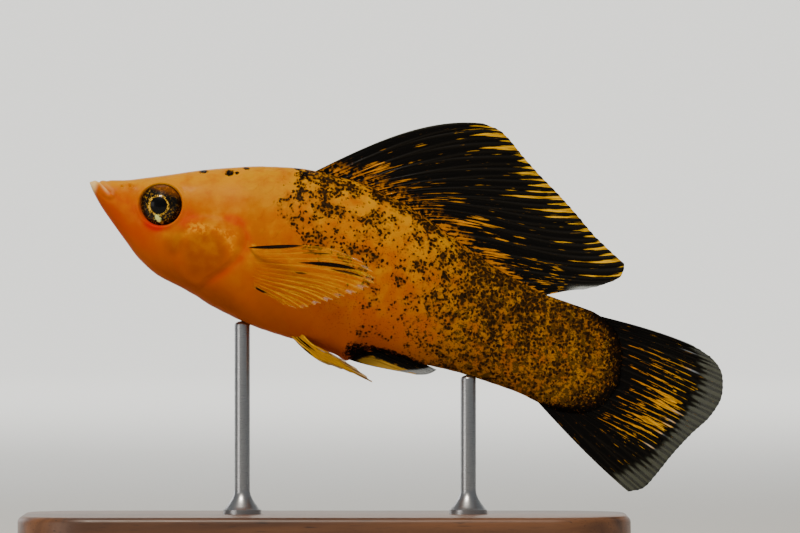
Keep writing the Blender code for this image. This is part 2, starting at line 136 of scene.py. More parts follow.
# Fins
WEB_COLUMNS = 20
ROOT_DEPTH = 1.0  # how far the roots are sunk into the body
RAY_MAP_LENGTH = 12  # length of a ray on the map of the rays, where neighbours are 1 apart
DRAWS = 80  # drawn values for the webs of a fin


def linear(code):
    """An sRGB hex colour as linear red, green, blue and alpha."""
    parts = [int(code[i : i + 2], 16) / 255 for i in (1, 3, 5)]
    return (*(p / 12.92 if p <= 0.04045 else ((p + 0.055) / 1.055) ** 2.4 for p in parts), 1.0)


def curve_through(points):
    """A smooth function through (x, value) points, for numbers or arrays, by cubic pieces."""
    xs, ys = np.array(points, float).T
    steps = np.diff(ys) / np.diff(xs)
    before, after = steps[:-1], steps[1:]
    onward = before * after > 0
    inner = np.where(onward, 2 * before * after / np.where(onward, before + after, 1), 0)
    slopes = np.concatenate([steps[:1], inner, steps[-1:]])

    def value(x):
        x = np.clip(x, xs[0], xs[-1])
        i = np.clip(np.searchsorted(xs, x, side="right") - 1, 0, len(xs) - 2)
        width = xs[i + 1] - xs[i]
        t = (x - xs[i]) / width
        rise = ys[i + 1] - ys[i]
        start, end = slopes[i] * width, slopes[i + 1] * width
        return ys[i] + t * (start + t * (3 * rise - 2 * start - end + t * (start + end - 2 * rise)))

    return value


BACK, BELLY, WIDTH, LEVEL, CROWN, KEEL = (
    curve_through([(row[0], row[i]) for row in STATIONS]) for i in range(1, 7)
)


def ease(t):
    """0 below 0, 1 above 1, and smooth between."""
    t = np.clip(t, 0.0, 1.0)
    return t * t * (3 - 2 * t)


def mix(pair, t):
    return pair[0] + (pair[1] - pair[0]) * t


def between(ends, t):
    """Side view points on the straight line from one end to the other."""
    return np.stack([mix(pair, t) for pair in zip(*ends)], -1)


def beside(spots, side):
    """Side view points put at a distance to the side."""
    return np.stack([spots[:, 0], side, spots[:, 1]], -1)


def bell(x, middle, width):
    """1 at the middle, falling smoothly to near 0 two widths away."""
    return np.exp(-(((x - middle) / width) ** 2))


def posed(points):
    """Points of the fish's frame, in millimetres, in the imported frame, in metres."""
    along, side, level = points[..., 0], points[..., 1], points[..., 2]
    x = SNOUT_X + along * math.cos(HEAD_UP) + level * math.sin(HEAD_UP)
    z = SNOUT_Z - along * math.sin(HEAD_UP) + level * math.cos(HEAD_UP)
    return np.stack([x, side, z], -1) * MM


# Body surface


def section(along, turn):
    """Points of the plain body at distances along it and turns round from its back."""
    widest = LEVEL(along)
    up, out = np.cos(turn), np.sin(turn)
    reach = np.where(up >= 0, BACK(along) - widest, widest - BELLY(along))
    power = 2 / np.where(up >= 0, CROWN(along), KEEL(along))
    level = widest + reach * np.sign(up) * np.abs(up) ** power
    side = WIDTH(along) * np.sign(out) * np.abs(out) ** power
    return np.stack(np.broadcast_arrays(along, side, level), -1)


TABLE_ALONG = np.linspace(0, LENGTH, 652)
TABLE_SHARE = np.linspace(0, 1, 361)


def even_turns():
    """The turn at even shares of the way round each section."""
    turns = np.linspace(0, 2 * math.pi, 1441)
    rings = section(TABLE_ALONG[:, None], turns[None, :])
    steps = np.linalg.norm(np.diff(rings, axis=1), axis=2)
    walked = np.concatenate([np.zeros((len(rings), 1)), np.cumsum(steps, 1)], 1)
    return np.array([np.interp(TABLE_SHARE, row / row[-1], turns) for row in walked])


TURNS = even_turns()


def turn_at(along, share):
    """The turn from the back at a share of the way round, between the table's entries."""
    row = np.clip(along / LENGTH * (len(TABLE_ALONG) - 1), 0, len(TABLE_ALONG) - 1.001)
    column = np.clip(share * (len(TABLE_SHARE) - 1), 0, len(TABLE_SHARE) - 1.001)
    i, j = row.astype(int), column.astype(int)
    down, right = row - i, column - j
    near = TURNS[i, j] * (1 - right) + TURNS[i, j + 1] * right
    far = TURNS[i + 1, j] * (1 - right) + TURNS[i + 1, j + 1] * right
    return near * (1 - down) + far * down


def flank(along, level):
    """Half width of the body at a distance along and a level."""
    widest = LEVEL(along)
    upper = level >= widest
    reach = np.where(upper, BACK(along) - widest, widest - BELLY(along))
    power = np.where(upper, CROWN(along), KEEL(along))
    share = np.minimum(np.abs(level - widest) / reach, 1.0)
    return WIDTH(along) * (1 - share**power) ** (1 / power)


def eye_plane(points):
    """Places beside the eye's axis, tailward and upward, in millimetres, for points of either side."""
    outward = np.abs(points[:, 1]) - EYE_CENTRE[1]
    tailward = (points[:, 0] - EYE_CENTRE[0]) * math.cos(EYE_TURN) + outward * math.sin(EYE_TURN)
    return tailward, points[:, 2] - EYE_CENTRE[2]


def mouth_reach(points):
    """Distance of points from the mouth's line, and 1 above it or -1 below."""
    across = np.linspace(-1, 1, 61)
    line = beside(between((MOUTH_MIDDLE, MOUTH_CORNER), across**2), MOUTH_HALF * across)
    offset = points[:, None, :] - line[None, :, :]
    gaps = np.linalg.norm(offset, axis=2)
    nearest = gaps.argmin(1)
    rows = np.arange(len(points))
    # The lips part along a line that falls tailward, so a point above it is over the upper lip.
    above = np.where(offset[rows, nearest, 2] + 0.4 * offset[rows, nearest, 0] > 0, 1, -1)
    return gaps[rows, nearest], above


def gill_gap(points):
    """How far points lie ahead of the gill cover's rear edge."""
    return curve_through(GILL_EDGE)(points[:, 2]) - points[:, 0]


def relief(points):
    """How far the skin stands out from the plain body, from its head's forms."""
    along, level = points[:, 0], points[:, 2]
    height = np.zeros(len(points))

    gap = gill_gap(points)
    reach = ease(1.4 - np.abs(level - GILL_MIDDLE) / GILL_REACH) * ease((GILL_TOP - level) / 3)
    cover = GILL_LIFT * reach * ease((along - GILL_FRONT) / (GILL_REAR - GILL_FRONT))
    height += cover * ease(gap / 1.1)
    height -= 0.03 * reach * bell(gap, -0.3, 0.4)

    plate_x, plate_z, plate_r = GILL_PLATE
    from_plate = np.hypot(along - plate_x, (level - plate_z) * 1.05)
    ahead = ease((plate_x + 1.5 - along) / 1.5)
    height += 0.06 * ease(1 - from_plate / plate_r)
    height -= 0.03 * bell(from_plate, plate_r + 0.1, 0.4) * (0.35 + 0.65 * ahead)
    height += 0.04 * bell(from_plate, plate_r + 0.8, 0.45) * ahead
    height -= 0.04 * bell(from_plate, plate_r + 1.6, 0.35) * ahead

    tailward, upward = eye_plane(points)
    from_eye = np.hypot(tailward, upward)
    height -= ORBIT_DEPTH * ease(1 - (from_eye - EYE_RADIUS + 0.03) / 0.2)
    height += ORBIT_FOLD * bell(from_eye, EYE_RADIUS + 0.3, 0.17)
    height -= 0.03 * bell(from_eye, EYE_RADIUS + 0.75, 0.3)

    for place, up, size in NOSTRILS:
        from_pit = np.hypot(along - place, level - up)
        height -= 0.3 * ease(1.3 - from_pit / size)
        height += 0.06 * bell(from_pit, size * 1.5, size * 0.4)

    snout = along < 5.0
    gaps = mouth_reach(points[snout])[0]
    lips = LIP_SWELL * bell(gaps, LIP_REACH, 0.25) - MOUTH_CREASE * bell(gaps, 0, 0.11)
    lips -= 0.03 * bell(gaps, LIP_REACH * 2.1, 0.2)
    height[snout] += lips
    return height


def skin_surface(along, share, over=0.0):
    """Points of the skin at shares of the way round from the back, raised by over, and the plain body's."""
    turn = turn_at(along, share)
    plain = section(along, turn)
    step = 0.02
    ahead, behind = (section(np.clip(along + way, 0, LENGTH), turn) for way in (step, -step))
    lengthways = ahead - behind
    sideways = section(along, turn + step) - section(along, turn - step)
    normal = np.cross(sideways, lengthways)
    normal /= np.maximum(np.linalg.norm(normal, axis=1), 1e-12)[:, None]
    middle = np.stack([0 * along, 0 * along, LEVEL(along)], -1)
    outward = np.sign(np.sum(normal * (plain - middle) * (0, 1, 1), axis=1))
    normal *= np.where(outward == 0, 1, outward)[:, None]
    return plain + normal * (relief(plain) - SCALE_DEPTH + over)[:, None], plain


# Markings, as masks that the skin and the scales share


def blob(points, centre, radii, lean=0.0):
    """1 in the middle of a soft ellipse of the side view, and 0 outside it."""
    x, z = points[:, 0] - centre[0], points[:, 2] - centre[1]
    c, s = math.cos(math.radians(lean)), math.sin(math.radians(lean))
    return ease(1.5 - np.hypot((x * c + z * s) / radii[0], (z * c - x * s) / radii[1]))


SPECKLE_FRONT = curve_through(
    ((-9.0, 35.0), (-6.0, 33.0), (-2.0, 30.0), (2.0, 24.0), (5.0, 20.5), (9.0, 21.5), (12.0, 22.0))
)
TAIL_ROOT = curve_through(
    ((-6.4, 57.0), (-5.2, 61.2), (-3.6, 63.2), (-0.8, 64.0), (2.4, 63.2), (4.4, 61.3), (6.0, 57.5))
)
NAPE_FLECKS = (
    ((11.9, 5.5), (0.5, 0.22), 20), ((14.8, 6.4), (0.48, 0.4), 30), ((15.6, 6.7), (0.24, 0.2), 0),
    ((16.4, 7.55), (0.42, 0.15), 15), ((22.9, 9.1), (0.55, 0.5), 0), ((22.0, 9.5), (0.5, 0.14), 12),
)


def scale_border(along, share):
    """1 on the free edge of the scale that shows at a place of the skin, and 0 in its middle."""
    column = (along - SCALE_FRONT) / (SCALE_REAR - SCALE_FRONT) * SCALE_COLUMNS
    row = np.minimum(share, 1 - share) * 2 * SCALE_ROWS - 0.5
    border = np.zeros(len(along))
    for parity in (0, 1):
        near = 2 * np.rint((row - parity) / 2) + parity
        across = (row - near) * 0.86
        tailward = (column - 0.5 * parity) % 1 - 0.25
        from_middle = np.hypot(across, np.maximum(tailward, 0) * 1.15)
        border = np.maximum(border, bell(from_middle, 0.62, 0.17) * (tailward > -0.25))
    return border


def markings(points, share):
    """The masks of the skin's colours at points of the plain body and shares of the way round it."""
    along, level = points[:, 0], points[:, 2]
    # The height mask runs from belly to back. The colours it sets are partly the skin's own orange to
    # yellow, and partly painted shade on the belly and painted light on the back.
    height = (level - BELLY(along)) / (BACK(along) - BELLY(along))
    tailward, upward = eye_plane(points)
    from_eye = np.hypot(tailward, upward)
    below = ease((-upward - 1.0) / 1.2) * bell(tailward, 0.35, 1.5)
    gap = gill_gap(points)

    onset = along - SPECKLE_FRONT(level)
    upper = 0.3 + 0.7 * ease((level + 1.5) / 5)
    near_fin = ease((level - BACK(along) + 1.6) / 1.4) * ease((along - 23) / 2) * ease((54 - along) / 3)
    speckle = 0.54 * upper * ease(onset / 1.6) + 0.44 * ease((along - 37) / 12) * ease(onset / 3)
    speckle += 0.3 * near_fin + 0.25 * blob(points, (25.2, 7.8), (3.0, 2.4))
    speckle *= 0.75 + 0.5 * scale_border(along, share) * ease((58 - along) / 8)
    specks = ease((along - 25) / 8) * ease((level + 8) / 3) * ease((9 - level) / 4)

    to_root = TAIL_ROOT(level) - along
    ink = ease((3.6 - to_root) / 5.5)
    for flecks in NAPE_FLECKS:
        ink = np.maximum(ink, blob(points, *flecks))
    ink = np.maximum(ink, 0.6 * blob(points, (62.2, -3.8), (1.7, 1.5)))
    ink = np.maximum(ink, blob(points, (35.8, -8.1), (1.7, 1.1)))
    ink = np.maximum(ink, blob(points, (39.5, -6.95), (3.6, 0.5), 2))
    # A dark ring round the eye: partly a thin dark outline, and partly painted shade at the socket's edge.
    rim = bell(from_eye, EYE_RADIUS, 0.07)
    ink = np.maximum(ink, 0.6 * rim)

    blush = 1.1 * below * bell(from_eye, EYE_RADIUS + 0.35, 0.45)
    blush += 0.35 * bell(gap, -0.2, 0.5) * ease((2.0 - level) / 1.5) * ease((level + 7.5) / 2)
    blush += 0.45 * blob(points, (12.4, -0.3), (1.5, 1.1)) + 0.5 * blob(points, (17.2, 1.5), (1.3, 0.6))
    blush += 0.35 * blob(points, (5.5, -2.4), (4.0, 2.0), -25)

    plate_x, plate_z, plate_r = GILL_PLATE
    from_plate = np.hypot(along - plate_x, level - plate_z)
    olive = 0.66 * ease((plate_r + 0.2 - from_plate) / 1.7) + 0.5 * blob(points, (11.6, -3.5), (1.0, 1.3))
    olive += 0.45 * blob(points, (17.0, -8.6), (6.5, 2.4), -14)
    veil = 0.58 * ease((along - 36) / 12) + 0.1 * ease((9 - to_root) / 7)
    arc = bell(from_plate, plate_r, 0.3) * ease((level - plate_z - 0.3) / 2)
    gold = 0.7 * arc + blob(points, (20.3, -0.7), (0.5, 0.3)) + 0.7 * blob(points, (13.6, -0.8), (1.2, 0.6))
    gold += 0.5 * blob(points, (17.3, -0.2), (0.9, 0.5)) + 0.25 * blob(points, (21.0, 8.5), (5.0, 2.0))

    pale = np.zeros(len(points))
    snout = along < 4.0
    gaps, above = mouth_reach(points[snout])
    lower_lip = 0.8 * (above < 0) * bell(gaps, 0.2, 0.14) * ease((3.0 - along[snout]) / 1.5)
    # A faint pale band on the upper lip: partly its own pale colour, and partly a painted highlight on its
    # swell.
    upper_lip = 0.12 * (above > 0) * bell(gaps, 0.4, 0.25)
    tip = (above < 0) * ease((1.3 - along[snout]) / 0.8)
    pale[snout] = np.clip(lower_lip + upper_lip + 0.8 * tip, 0, 1)
    masks = {
        "height": height, "speckle": speckle, "specks": specks, "ink": ink, "blush": blush,
        "olive": olive, "gold": gold, "pale": pale, "veil": veil,
    }
    return {name: np.clip(mask, 0, 1) for name, mask in masks.items()}


# Meshes and pieces


def mesh_of(name, bm):
    mesh = bpy.data.meshes.new(name)
    bm.to_mesh(mesh)
    bm.free()
    return mesh


def corners_of(mesh):
    found = np.empty(len(mesh.vertices) * 3)
    mesh.vertices.foreach_get("co", found)
    return found.reshape(-1, 3)


def lay(mesh, points):
    """Moves a mesh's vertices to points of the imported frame."""
    mesh.vertices.foreach_set("co", points.astype(np.float32).ravel())
    mesh.update()


def keep_masks(mesh, masks):
    for name, values in masks.items():
        mask = mesh.attributes.new(name, "FLOAT", "POINT")
        mask.data.foreach_set("value", np.asarray(values, np.float32))


def keep_map(mesh, name, places):
    """Gives the mesh a UV map from one place for each vertex."""
    corner = np.empty(len(mesh.loops), np.int32)
    mesh.loops.foreach_get("vertex_index", corner)
    layer = mesh.uv_layers.new(name=name)
    layer.data.foreach_set("uv", places[corner].astype(np.float32).ravel())


def piece(name, mesh, finish, replaced=()):
    obj = bpy.data.objects.new(name, mesh)
    bpy.context.scene.collection.objects.link(obj)
    mesh.materials.append(finish)
    mesh.shade_smooth()
    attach(obj, "root")
    if replaced:
        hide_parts(*replaced)
    return obj


def ring_places():
    """Where the skin's rings lie, closest where the head's forms are fine."""
    along = np.linspace(0, LENGTH, 4001)
    density = 1 / curve_through(RING_STEPS)(along)
    walked = np.concatenate([[0], np.cumsum((density[1:] + density[:-1]) / 2)])
    return np.interp(np.linspace(0, 1, SKIN_RINGS + 1), walked / walked[-1], along)


def skin(finish):
    """One skin over head, trunk and tail stem."""
    bm = bmesh.new()
    bmesh.ops.create_uvsphere(bm, u_segments=SKIN_SIDES, v_segments=SKIN_RINGS, radius=1)
    mesh = mesh_of("skin", bm)
    ball = corners_of(mesh)
    ring = np.rint(np.arccos(np.clip(ball[:, 2], -1, 1)) / math.pi * SKIN_RINGS).astype(int)
    along = ring_places()[ring]
    share = np.arctan2(ball[:, 1], ball[:, 0]) / (2 * math.pi) % 1
    points, plain = skin_surface(along, share)
    pole = (ring == 0) | (ring == SKIN_RINGS)
    points[pole] = np.stack([along, 0 * along, (BACK(along) + BELLY(along)) / 2], -1)[pole]
    lay(mesh, posed(points))
    keep_masks(mesh, markings(plain, share))
    return piece("skin", mesh, finish, ("head", "trunk", "tail_stem"))


def scale_plate():
    """One scale as a closed plate: its corners on a disc of radius 1, 0 on top or 1 below, and its faces."""
    bm = bmesh.new()
    bmesh.ops.create_grid(bm, x_segments=4, y_segments=4, size=1)
    lifted = bmesh.ops.extrude_face_region(bm, geom=bm.faces[:])["geom"]
    bmesh.ops.translate(bm, vec=(0, 0, 1), verts=[v for v in lifted if isinstance(v, bmesh.types.BMVert)])
    bm.verts.index_update()
    corners = np.array([vert.co[:] for vert in bm.verts])
    faces = np.array([[vert.index for vert in face.verts] for face in bm.faces])
    bm.free()
    x, y = corners[:, 0].copy(), corners[:, 1].copy()
    corners[:, 0] = x * np.sqrt(1 - y * y / 2)
    corners[:, 1] = y * np.sqrt(1 - x * x / 2)
    return corners, faces


def scale_places():
    """(distance along, share of half the girth) of each scale of a side, in staggered rows."""
    places = []
    for row in range(SCALE_ROWS):
        for column in range(SCALE_COLUMNS):
            along = mix((SCALE_FRONT, SCALE_REAR), (column + 0.5 * (row % 2)) / SCALE_COLUMNS)
            places.append((along, (row + 0.5) / SCALE_ROWS))
    return np.array(places)


def scales(name, away, finish, chance):
    """The scales of one side, as plates that rise tailward out of the skin."""
    places = scale_places()
    middle = section(places[:, 0], turn_at(places[:, 0], places[:, 1] / 2))
    places = places[gill_gap(middle) < -SCALE_START]
    corners, faces = scale_plate()
    count = len(places)
    length = (SCALE_REAR - SCALE_FRONT) / SCALE_COLUMNS * SCALE_OVERLAP / 2
    size = chance.uniform(0.94, 1.06, (count, 1))
    tailward, across, below = corners.T
    along = np.clip(places[:, :1] + length * size * tailward, 0, LENGTH).ravel()
    half = places[:, 1:] / 2 + across * size * SCALE_WIDTH / (SCALE_ROWS * 4)
    share = (half if away > 0 else 1 - half).ravel() % 1
    rise = mix((SCALE_SINK, SCALE_RISE), (tailward + 1) / 2) - SCALE_DROOP * across**2 - SCALE_THICK * below
    over = (rise[None, :] + chance.uniform(-0.003, 0.003, (count, 1))).ravel()
    points, plain = skin_surface(along, share, over)
    mesh = bpy.data.meshes.new(name)
    joined = (faces[None, :, :] + len(corners) * np.arange(count)[:, None, None]).reshape(-1, 4)
    mesh.from_pydata([tuple(p) for p in posed(points)], [], joined.tolist())
    bm = bmesh.new()
    bm.from_mesh(mesh)
    bmesh.ops.recalc_face_normals(bm, faces=bm.faces)
    bm.to_mesh(mesh)
    bm.free()
    masks = markings(plain, share)
    masks["tone"] = np.repeat(chance.uniform(-1, 1, count), len(corners))
    keep_masks(mesh, masks)
    root_u = places[:, :1] / LENGTH * (1 - 2 * MAP_EDGE) + MAP_EDGE
    root_v = places[:, 1:] / 2 if away > 0 else 1 - places[:, 1:] / 2
    u = root_u + PATCH / 2 * tailward
    v = root_v + PATCH / 2 * across
    keep_map(mesh, "OFBake", np.stack([u.ravel(), v.ravel()], -1))
    obj = piece(name, mesh, finish)
    mesh.set_sharp_from_angle(angle=math.radians(40))
    return obj


# Eyes


def eye(name, away, finish):
    """An eyeball whose pole looks out, with a map of millimetres beside its axis."""
    bm = bmesh.new()
    bmesh.ops.create_uvsphere(bm, u_segments=72, v_segments=60, radius=1)
    mesh = mesh_of(name, bm)
    ball = corners_of(mesh)
    tailward, up, out = ball.T
    from_axis = np.hypot(tailward, up) * EYE_RADIUS
    # The lens pushes the middle of the cornea out a little.
    bulge = 0.07 * ease((1.5 - from_axis) / 0.9) * (out > 0)
    depth = EYE_DEPTH * out + bulge
    x = EYE_CENTRE[0] + EYE_RADIUS * tailward * math.cos(EYE_TURN) - depth * math.sin(EYE_TURN)
    y = away * (EYE_CENTRE[1] + EYE_RADIUS * tailward * math.sin(EYE_TURN) + depth * math.cos(EYE_TURN))
    lay(mesh, posed(np.stack([x, y, EYE_CENTRE[2] + EYE_RADIUS * up], -1)))
    if away > 0:
        mesh.flip_normals()
    keep_masks(mesh, {"tailward": EYE_RADIUS * tailward, "upward": EYE_RADIUS * up})
    return piece(name + "_ball", mesh, finish, (name,))


# Fins


def path_through(points):
    """A smooth function from 0 to 1 along side view points, by the distance between them."""
    spots = np.array(points)
    walked = np.concatenate([[0], np.cumsum(np.linalg.norm(np.diff(spots, axis=0), axis=1))])
    xs, zs = (curve_through(list(zip(walked / walked[-1], line))) for line in spots.T)
    return lambda share: np.stack([xs(share), zs(share)], -1)


def bowed(root, tip, lean_out, lean_in, t):
    """Points of bowed lines in the side view, from their ends and their slopes there in degrees."""
    reach = np.linalg.norm(tip - root, axis=-1) / 3
    leans = (np.radians(lean) for lean in (lean_out, lean_in))
    start, end = (np.stack([reach * np.cos(lean), reach * np.sin(lean)], -1) for lean in leans)
    first, second = root + start, tip - end
    t = t[:, None]
    s = 1 - t
    return s**3 * root + 3 * s * s * t * first + 3 * s * t * t * second + t**3 * tip


DORSAL_ROOT = curve_through(((0.0, 22.9), (0.2, 27.9), (0.4, 31.4), (0.6, 35.0), (0.8, 42.3), (1.0, 52.2)))
DORSAL_MARGIN = path_through(
    ((40.3, 21.7), (42.2, 21.6), (43.7, 21.0), (45.7, 19.8), (48.4, 18.35), (51.4, 16.9), (54.1, 15.45),
     (56.7, 13.95), (59.6, 12.65), (61.1, 11.9), (61.2, 10.9), (60.0, 9.4), (57.6, 7.7))
)
DORSAL_LEAN_ROOT = curve_through(
    ((0.0, 46.0), (0.2, 43.0), (0.4, 35.0), (0.6, 31.0), (0.8, 18.0), (1.0, 24.0))
)
DORSAL_LEAN_TIP = curve_through(
    ((0.0, 13.0), (0.2, 17.0), (0.4, 19.0), (0.6, 26.0), (0.8, 30.0), (1.0, 20.0))
)
DORSAL_CURL = 0.7


def dorsal_point(across, out):
    along = DORSAL_ROOT(across)
    root = np.stack([along, BACK(along) - ROOT_DEPTH], -1)
    spot = bowed(root, DORSAL_MARGIN(across), DORSAL_LEAN_ROOT(across), DORSAL_LEAN_TIP(across), out)
    curl = DORSAL_CURL * out * out * np.sin(math.pi * (1.6 * across - 0.2))
    return beside(spot, curl)


CAUDAL_ROOT = path_through(
    ((57.5, 5.2), (61.3, 4.4), (63.2, 2.4), (64.0, -0.8), (63.2, -3.6), (61.2, -5.2), (56.0, -5.7))
)
CAUDAL_MARGIN = path_through(
    ((71.5, 5.95), (74.2, 5.3), (76.0, 3.9), (76.8, 1.2), (76.4, -0.8), (74.9, -3.85), (73.7, -6.7),
     (72.7, -9.6), (71.9, -11.4), (70.4, -12.4))
)
CAUDAL_LEAN_ROOT = curve_through(((0.0, 5.0), (0.3, 2.0), (0.6, -5.0), (1.0, -28.0)))
CAUDAL_LEAN_TIP = curve_through(((0.0, -4.0), (0.4, -4.0), (0.7, -20.0), (1.0, -20.0)))
CAUDAL_SWAY = 1.0


def caudal_point(across, out):
    leans = CAUDAL_LEAN_ROOT(across), CAUDAL_LEAN_TIP(across)
    spot = bowed(CAUDAL_ROOT(across), CAUDAL_MARGIN(across), *leans, out)
    sway = CAUDAL_SWAY * out * out * np.cos(math.pi * 1.3 * (across - 0.5))
    return beside(spot, sway)


PECTORAL_ROOT = path_through(((19.2, -1.1), (19.5, -2.4), (20.2, -3.7), (21.4, -4.8)))
PECTORAL_MARGIN = path_through(
    ((29.6, 2.2), (32.0, 2.1), (34.2, 1.3), (34.8, 0.3), (33.6, -1.3), (31.6, -2.8),
     (29.4, -4.4), (27.4, -5.6), (25.6, -5.7))
)
PECTORAL_SPLAY = math.tan(math.radians(17))
PECTORAL_CUP = 0.9
PECTORAL_STEP = 1.5


def pectoral_point(away):
    def point(across, out):
        root = PECTORAL_ROOT(across)
        spot = bowed(root, PECTORAL_MARGIN(across), 22 - 40 * across, 2 - 22 * across, out)
        side = flank(root[:, 0], root[:, 1]) - ROOT_DEPTH + PECTORAL_STEP * ease(out / 0.13)
        side += np.linalg.norm(spot - root, axis=1) * PECTORAL_SPLAY
        side += PECTORAL_CUP * out * np.sin(math.pi * across)
        return beside(spot, away * side)

    return point


PELVIC_ROOT = ((26.6, -8.0), (28.6, -8.0))
PELVIC_MARGIN = path_through(
    ((32.4, -10.5), (35.4, -10.4), (38.4, -10.6), (35.6, -9.7), (33.2, -9.3), (31.4, -9.2))
)
PELVIC_SPREAD = 2.3


def pelvic_point(away):
    def point(across, out):
        root = between(PELVIC_ROOT, across)
        spot = bowed(root, PELVIC_MARGIN(across), -36 + 6 * across, -8, out)
        side = 0.9 + 0.7 * across + PELVIC_SPREAD * out * (0.45 + 0.55 * across)
        return beside(spot, away * side)

    return point


ANAL_ROOT = ((34.2, -9.1), (39.5, -6.1))
ANAL_ARCH = 0.6  # how far the middle of its root is lifted into the skin
ANAL_MARGIN = path_through(((42.9, -8.1), (43.9, -7.7), (44.5, -7.25), (44.9, -6.75)))


def anal_point(across, out):
    root = between(ANAL_ROOT, across)
    root[:, 1] += ANAL_ARCH * np.sin(math.pi * across)
    spot = bowed(root, ANAL_MARGIN(across), -2 - 12 * across, 8 - 14 * across, out)
    return beside(spot, 0 * across)


def branching(out):
    """How far each half of a ray has parted from the ray's line, in ray spacings."""
    return 0.22 * ease((out - 0.32) / 0.5)


def ray_ridge(x, out, width):
    """1 on the crest of a ray or of its branches, and 0 on the membrane between."""
    from_ray = np.abs(x - np.rint(x))
    return ease(1 - np.abs(from_ray - branching(out)) / width)


def web_place(x, out):
    """The number of the web that holds a place, and the place across that web from -1 to 1.

    Webs between neighbouring rays are even, and those between a ray's two branches are odd.
    """
    ray = np.rint(x)
    part = branching(out)
    offset = x - ray
    inside = np.abs(offset) < part
    left = offset < 0
    number = np.where(inside, 2 * ray + 1, np.where(left, 2 * ray, 2 * ray + 2)).astype(int)
    middle = np.where(inside, 0.0, np.where(left, -0.5, 0.5))
    half = np.where(inside, np.maximum(part, 0.02), 0.5 - part)
    return number, (offset - middle) / half


FIN_MASKS = ("gold", "streaks", "foot", "clear", "smoke", "pale", "ink", "bright", "ridge", "out")


def fin(name, rays, rows, point, thick, paint, finish, node, pleat=0.03, notch=0.003):
    """A fin as a grid of rays and webs with its thickness, painted by masks.

    thick holds the thickness of ray and web at the root, and of ray and web at the margin.
    """
    columns = (rays - 1) * WEB_COLUMNS
    bm = bmesh.new()
    bmesh.ops.create_grid(bm, x_segments=columns, y_segments=rows, size=0.5)
    mesh = mesh_of(name, bm)
    grid = corners_of(mesh)
    across = grid[:, 0] + 0.5
    out = grid[:, 1] + 0.5
    x = across * (rays - 1)
    ridge = ray_ridge(x, out, 0.2)
    reach = out * (1 - notch * (1 - ridge) * ease((out - 0.8) / 0.2))
    points = point(across, reach)
    points[:, 1] += pleat * ease(out / 0.3) * np.cos(2 * math.pi * x)
    lay(mesh, posed(points))
    keep_map(mesh, "rays", np.stack([x, reach * RAY_MAP_LENGTH], -1))
    masks = dict.fromkeys(FIN_MASKS, 0 * out) | paint(across, x, out, ridge) | {"ridge": ridge, "out": out}
    keep_masks(mesh, {key: np.clip(values, 0, 1) for key, values in masks.items()})
    ray_root, web_root, ray_tip, web_tip = thick
    thickness = mix((web_root, web_tip), out) + ridge * mix((ray_root - web_root, ray_tip - web_tip), out)
    obj = piece(name, mesh, finish, (node,))
    group = obj.vertex_groups.new(name="thickness")
    for index, weight in enumerate(thickness / thickness.max()):
        group.add([index], float(weight), "REPLACE")
    shell = obj.modifiers.new("thickness", "SOLIDIFY")
    shell.thickness = float(thickness.max()) * MM
    shell.offset = 0
    shell.vertex_group = group.name
    return obj


def drawn(chance, number, low, high):
    """A drawn value for each web or ray, looked up by its number."""
    return chance.uniform(low, high, DRAWS)[np.clip(number, 0, DRAWS - 1)]


def dorsal_paint(across, x, out, ridge):
    """Black with yellow wedges on the rear margin, orange streaks below and a speckled foot."""
    chance = np.random.default_rng(11)
    number, place = web_place(x, out)
    start = drawn(chance, number, 0.74, 0.93)
    strong = drawn(chance, number, 0.5, 1.05)
    strong = strong * np.where(number % 2 == 1, 0.62, 1.0)
    long_ones = drawn(chance, number, 0, 1) > 0.68
    start = np.where(long_ones, start - 0.14, start)
    grown = np.clip((out - start) / (1 - start), 0, 1)
    widest = 0.85 - 0.45 * across
    wedge = np.clip(strong, 0, 1) * ease((0.16 + widest * grown - np.abs(place)) / 0.42) * (out > start)
    wedge *= ease((across - 0.015) / 0.03) * ease((0.9 - across) / 0.05)

    # Four groups of streaks, as (place across, place out, reach across, reach out, strength)
    groups = (
        (0.17, 0.31, 0.06, 0.16, 0.37), (0.33, 0.25, 0.06, 0.12, 0.36), (0.5, 0.33, 0.07, 0.13, 0.38),
        (0.68, 0.33, 0.08, 0.2, 0.38),
    )
    streaks = 0.34 * ease((across - 0.74) / 0.08) * ease((0.75 - out) / 0.3)
    for place_across, place_out, reach_across, reach_out, strength in groups:
        group = strength * bell(across, place_across, reach_across) * bell(out, place_out, reach_out)
        streaks = np.maximum(streaks, group)
    streaks += 0.22 * ease((across - 0.03) / 0.06) * ease((0.3 - out) / 0.2)
    streaks += 0.03 * ease((across - 0.05) / 0.1) * ease((0.9 - out) / 0.2)
    rise = 0.13 + 0.08 * ease((across - 0.75) / 0.2)
    foot = 0.9 * ease((rise + 0.1 - out) / 0.14)
    clear = 0.5 * ease((across - 0.9) / 0.07) * ease((out - 0.6) / 0.25)
    smoke = clear * 2 + 0.7 * ease((0.007 - across) / 0.005)
    return {"gold": wedge, "streaks": streaks, "foot": foot, "clear": clear, "smoke": smoke}


